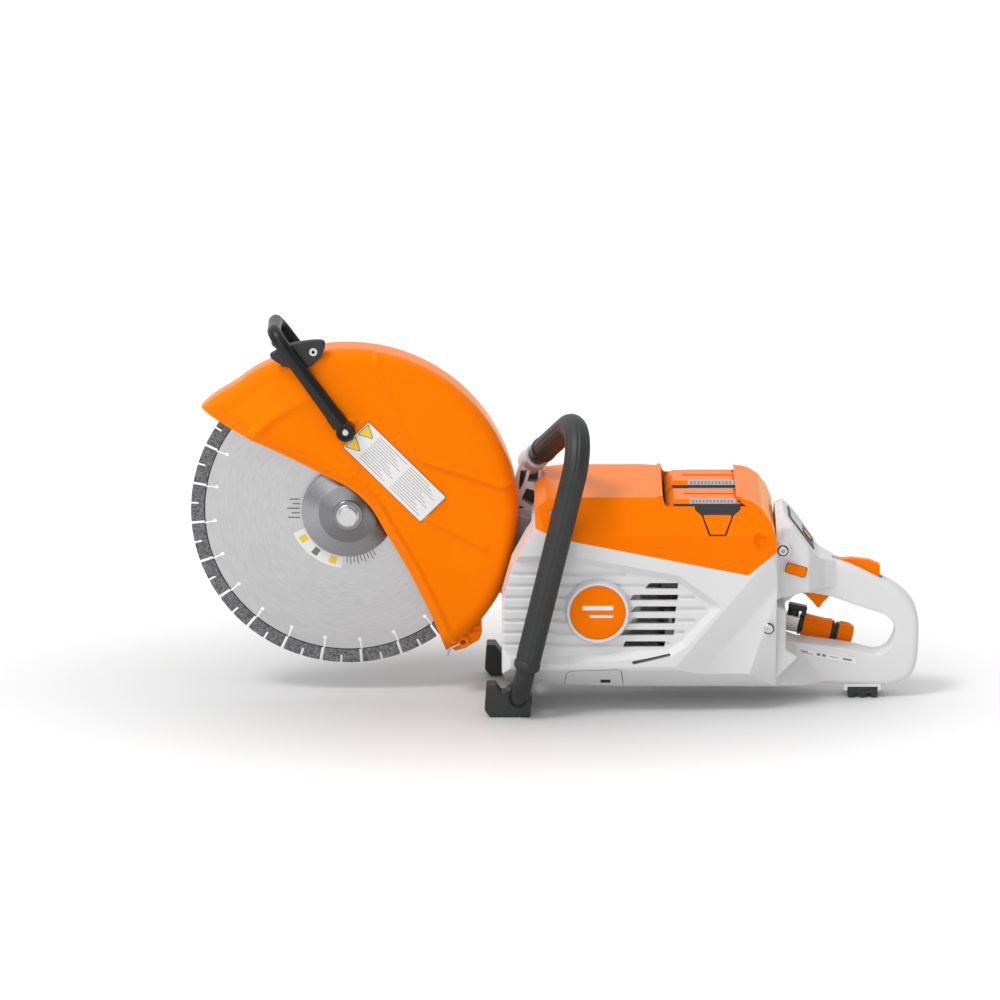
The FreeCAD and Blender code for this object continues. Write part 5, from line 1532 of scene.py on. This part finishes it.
def water_line():
    valve = water_block("valve", (2, -9, -9), (20, 9, 9))
    bevelled(valve, 1.5, 3)
    pipe = lathe("pipe", [(-16, 0), (-16, 7), (2.5, 7), (2.5, 0)], WATER, WATER_AXIS, 48)
    hexagon = lathe("hexagon", [(-6, 0), (-6, 9.2), (-5, 10), (1, 10), (2.1, 9.2), (2.1, 0)], WATER,
                    WATER_AXIS, 6)
    finished(joined("valve", valve, pipe, hexagon), "valve_block", "machine", nickel,
             ["valve_body"], 30)
    hub = lathe("hub", [(9.3, 0), (9.3, 6.5), (15.4, 6.5), (16.3, 5.6), (16.3, 0)],
                Vector(WATER) + WATER_AXIS * 11, WATER_UP, 48)
    blade_piece = water_block("blade", (4, -6.5, 15), (25, 6.5, 21))
    bevelled(blade_piece, 1.6, 3)
    skirt = water_block("skirt", (20.5, -6.5, 9.6), (25, 6.5, 17))
    bevelled(skirt, 1.2, 2)
    finished(joined("lever", hub, blade_piece, skirt), "valve_lever_handle", "valve_lever",
             black_plastic, ["valve_lever"], 30)
    core = lathe("core", [(20, 5), (20, 11.4), (20.6, 12), (22.4, 12), (23, 11.4), (23, 10), (56.5, 10),
                          (57, 11.6), (58.6, 11.6), (59, 9.4), (61, 9.4), (61.4, 11.4), (63.2, 11.4),
                          (63.8, 10), (63.8, 5)], WATER, WATER_AXIS, 64)
    finished(core, "coupling_core", "machine", black_plastic, ["coupling_body"], 30)

    def ribs(angle, along):
        return 1 - 0.035 * (0.5 + 0.5 * math.cos(20 * angle)) if 28 < along < 50 else 1

    sleeve = lathe("sleeve", [(24, 10.35), (24, 12.2), (25, 13), (27.5, 13), (29, 12.6), (49, 12.2),
                              (51, 12.9), (55, 13), (56, 12.6), (56, 11.9), (51, 11.9), (51, 10.35)], WATER,
                   WATER_AXIS, 160, shape=ribs)
    finished(sleeve, "coupling_sleeve_ribbed", "coupling_sleeve", orange, ["coupling_sleeve"], 30)

    def nut_ribs(angle, along):
        return 1 - 0.05 * (0.5 + 0.5 * math.cos(16 * angle)) ** 2 if 65 < along < 76 else 1

    nut = lathe("nut", [(64.2, 7.5), (64.2, 12.2), (65.5, 13), (74, 13), (76.5, 12.4), (79, 11.2),
                        (80.4, 10.6), (81, 9.8), (81, 7.5)], WATER, WATER_AXIS, 160, shape=nut_ribs)
    dark = lathe("dark", [(79.4, 7.4), (79.4, 9.2), (81.3, 9.2), (81.3, 7.4)], WATER, WATER_AXIS, 48)
    finished(joined("nut", painted(nut, orange), painted(dark, black_plastic)), "coupling_nut_ribbed",
             "machine", nodes=["coupling_nut"], sharp=30)


rear_handle()
handle_screws()
controls()
water_line()


# ---- front handle, bracket and feet ----

# the corners of the bent tube: from its far foot, across the floor, up the near side and back over
TUBE = [(188, 96, -190), (188, -113, -190), (269, -113, 149), (204, 60, 45)]


def front_handle():
    line = divided(route(TUBE, [32, 45], 3), 12)
    tube = sweep("tube", line, 11, 40)
    cap = rod("cap", 11.4, 92, 97.5, 188, -190, 40, 1)
    finished(joined("tube", tube, cap), "front_handle_bar", "machine", tube_paint,
             ["front_handle_tube"], 35)
    low = Vector(TUBE[1])
    high = Vector(TUBE[2])
    end = Vector(TUBE[3])
    start = low + (high - low).normalized() * 42
    stop = high + (end - high).normalized() * 171
    grip_line = divided(route([start, high, stop], [45], 3), 2.5)
    length = line_length(grip_line)

    def radius(distance):
        edge = min(distance, length - distance)
        if edge < 1.2:
            return 13.2
        if edge < 9:
            return 14.6
        if edge < 11:
            return 13.4
        return 14.0

    def section(angle, distance):
        edge = min(distance, length - distance)
        if edge < 11:
            return 1
        return 1 - 0.045 * max(0.0, math.cos(8 * angle)) ** 6

    grip = sweep("grip", grip_line, radius, 96, section)
    finished(grip, "front_handle_rubber", "machine", rubber, ["front_handle_grip"], 30,
             weighted=False)

    run = (high - end).normalized()
    web = prism("web", "side", rounded([(186, -46), (204, -46), (211, -8), (216, 22), (217, 47), (207, 56),
                                        (194, 52), (186, 30)], 3), 46, 66)
    bevelled(web, 1.6, 2)
    windows = [[(198, 24), (212, 22), (213, 40), (205, 46)], [(189, 10), (196, 22), (201, 40), (191, 38)],
               [(192, 4), (207, -6), (211, 14), (198, 18)], [(189, -14), (205, -24), (206, -10), (190, -1)]]
    backs = []
    for window in windows:
        cut(web, prism("window", "side", rounded(window, 2), 30, 60, rounded(drawn_in(window, 1.5), 1.5)))
        backs.append(prism("back", "side", drawn_in(window, 0.2), 59, 61))
    boss = lathe("boss", [(40, 0), (40, 3), (41.5, 3.2), (41.5, 5), (40, 5.4), (40, 8), (50, 8), (50, 0)],
                 (199, 0, -36), steps=40)
    socket = lathe("socket", [(-5, 11.05), (-5, 13.6), (-4, 14.6), (22, 14.6), (23, 13.6), (23, 11.05)], end,
                   run, 48)
    finished(joined("bracket", web, boss, socket), "handle_bracket_cast", "machine", cast,
             ["handle_bracket"], 30)
    finished(joined("backs", *backs), "handle_bracket_shadow_gap", "machine", black_plastic)


def feet():
    outline = rounded([(152, -200), (158, -208), (203, -208), (203, -181), (170, -181), (164, -172),
                       (154, -172)], 2, 3)
    blocks = []
    for low, high in ((-100, -75), (76, 101)):
        block = prism("foot", "side", outline, low, high)
        bevelled(block, 1.2, 2, 30)
        sole = []
        for k in range(5):
            front = 160 + 9 * k
            sole.append(box("groove", (front, low - 5, -210), (front + 3, high + 5, -206.4)))
        cut(block, *sole)
        collar = lathe("collar", [(low + 1, 11.1), (low + 1, 15), (low + 2.5, 16.4), (high - 2.5, 16.4),
                                  (high - 1, 15), (high - 1, 11.1)], (188, 0, -190), steps=48)
        blocks += [block, collar]
    finished(joined("feet", *blocks), "front_feet_rubber", "machine", rubber, ["front_feet"], 30)
    floor = FLOOR_UP
    shape = [(557, -193.4), (590, -194.7), (590, floor + 1), (588.5, floor), (584, floor),
             (582, floor + 4.6), (578, floor + 4.6), (576, floor), (571, floor), (569, floor + 4.6),
             (565, floor + 4.6), (563, floor), (558.5, floor), (557, floor + 1)]
    foot = prism("rear_foot", "side", shape, -17, 17)
    bevelled(foot, 0.8, 2, 30)
    finished(foot, "rear_foot_rubber", "machine", rubber, ["rear_foot"], 30)
    rim = [(552, -192), (594, -192), (594, -199), (590.4, -200), (590.4, -195.4), (556.6, -195.4),
           (556.6, -200), (552, -199)]
    skirt = prism("skirt", "side", rounded(rim, 0.6, 2), -17.5, 17.5)
    finished(bevelled(skirt, 0.5, 2, 35), "rear_foot_holder", "machine", light_grey, [], 30)


front_handle()
feet()


# ---- arm and belt cover on the far side ----

def capsule(tip, root, steps=40):
    """The outline round the spindle's and the motor's axes."""
    across, up = MOTOR
    lean = math.atan2(up, across)
    open_by = math.acos((tip - root) / math.hypot(across, up))
    outline = []
    for k in range(steps + 1):
        angle = lean + open_by + (2 * math.pi - 2 * open_by) * k / steps
        outline.append((tip * math.cos(angle), tip * math.sin(angle)))
    for k in range(steps + 1):
        angle = lean - open_by + 2 * open_by * k / steps
        outline.append((across + root * math.cos(angle), up + root * math.sin(angle)))
    return outline


def belt_cover():
    cover_body = prism("belt_cover", "side", capsule(40, 50), 58, 92)
    bevelled(cover_body, 5, 4, 30)
    cut(cover_body, prism("hollow", "side", capsule(36.5, 46.5), 50, 88.5))
    inset = prism("inset", "side", capsule(27, 36), 89.8, 100, capsule(29, 38))
    cut(cover_body, inset)
    ribs = []
    for k in range(7):
        along = 0.16 + 0.11 * k
        x, z = MOTOR[0] * along, MOTOR[1] * along
        rib = prism("rib", "side",
                    rounded([(x - 3, z - 20), (x + 3, z - 18), (x + 13, z + 20), (x + 7, z + 20)], 1.5), 88,
                    91.2)
        ribs.append(rib)
    add(cover_body, *ribs)
    round_boss = lathe("boss", [(86, 0), (86, 20), (91, 20), (92.4, 18.4), (92.4, 12), (91, 11), (91, 0)],
                       steps=64)
    motor_boss = lathe("boss", [(86, 0), (86, 28), (91, 28), (92.4, 26.4), (92.4, 18), (91, 17), (91, 0)],
                       (MOTOR[0], 0, MOTOR[1]), steps=64)
    finished(joined("belt_cover", cover_body, round_boss, motor_boss), "belt_cover_cast", "machine",
             belt_grey, ["belt_cover"], 30)
    heads = []
    for across, up in ((-25, 12), (-22, -30), (150, -20), (128, -76), (300, -52), (270, -132)):
        head = rod("head", 5, 90, 93.8, across, up, 32, 0.5)
        heads.append(cut(head, rod("socket", 2.2, 92.4, 95, across, up, 6)))
    finished(joined("screws", *heads), "belt_cover_screw_heads", "machine", zinc,
             ["belt_cover_screws"], 25)


def arm():
    plate = prism("arm", "side", capsule(40, 50), 45, 57.8)
    bevelled(plate, 1.5, 2, 30)
    pocket = prism("pocket", "side", capsule(31, 40), 38, 49)
    hub = lathe("hub", [(33, 20.1), (33, 28.9), (34, 29.9), (52, 29.9), (52, 20.1)], steps=80)
    motor_hub = lathe("hub", [(44, 20), (44, 44), (52, 44), (52, 20)], (MOTOR[0], 0, MOTOR[1]), steps=80)
    cut(plate, pocket)
    ribs = []
    for k in range(6):
        x = 48 + 34 * k
        z = MOTOR[1] / MOTOR[0] * x
        ribs.append(prism("rib", "side",
                          [(x - 2, z - 44), (x + 2, z - 44), (x + 16, z + 44), (x + 12, z + 44)], 46, 50))
    rib_block = joined("ribs", *ribs)
    common(rib_block, prism("clip", "side", capsule(33, 42), 40, 55))
    lug = prism("lug", "side", rounded([(188, -60), (214, -60), (212, -6), (190, -6)], 2), 45.5, 57.5)
    finished(joined("arm", plate, hub, motor_hub, rib_block, bevelled(lug, 1.2, 2)), "cutting_arm_cast",
             "machine", cast, ["cutting_arm"], 30)


belt_cover()
arm()


# ---- CAD nodes that show as they are ----

NODE_PAINT = (
    (steel, "spindle_shaft", "spindle_pulley", "motor_shaft", "motor_pulley", "spindle_bearings",
     "motor_bearings", "control_pins"),
    (flange_metal, "inner_flange"),
    (iron, "rotor_core", "motor_stator"),
    (cast, "motor_can", "motor_flange", "controller"),
    (black_plastic, "cooling_fan", "battery_bay", "battery_terminals"),
    (rubber, "drive_belt"),
    (nickel, "water_nozzles"),
    (white_label, "type_plate"),
    (zinc, "cover_screws"),
)
for material, *nodes in NODE_PAINT:
    for node in nodes:
        painted(frame["nodes"][node], material)
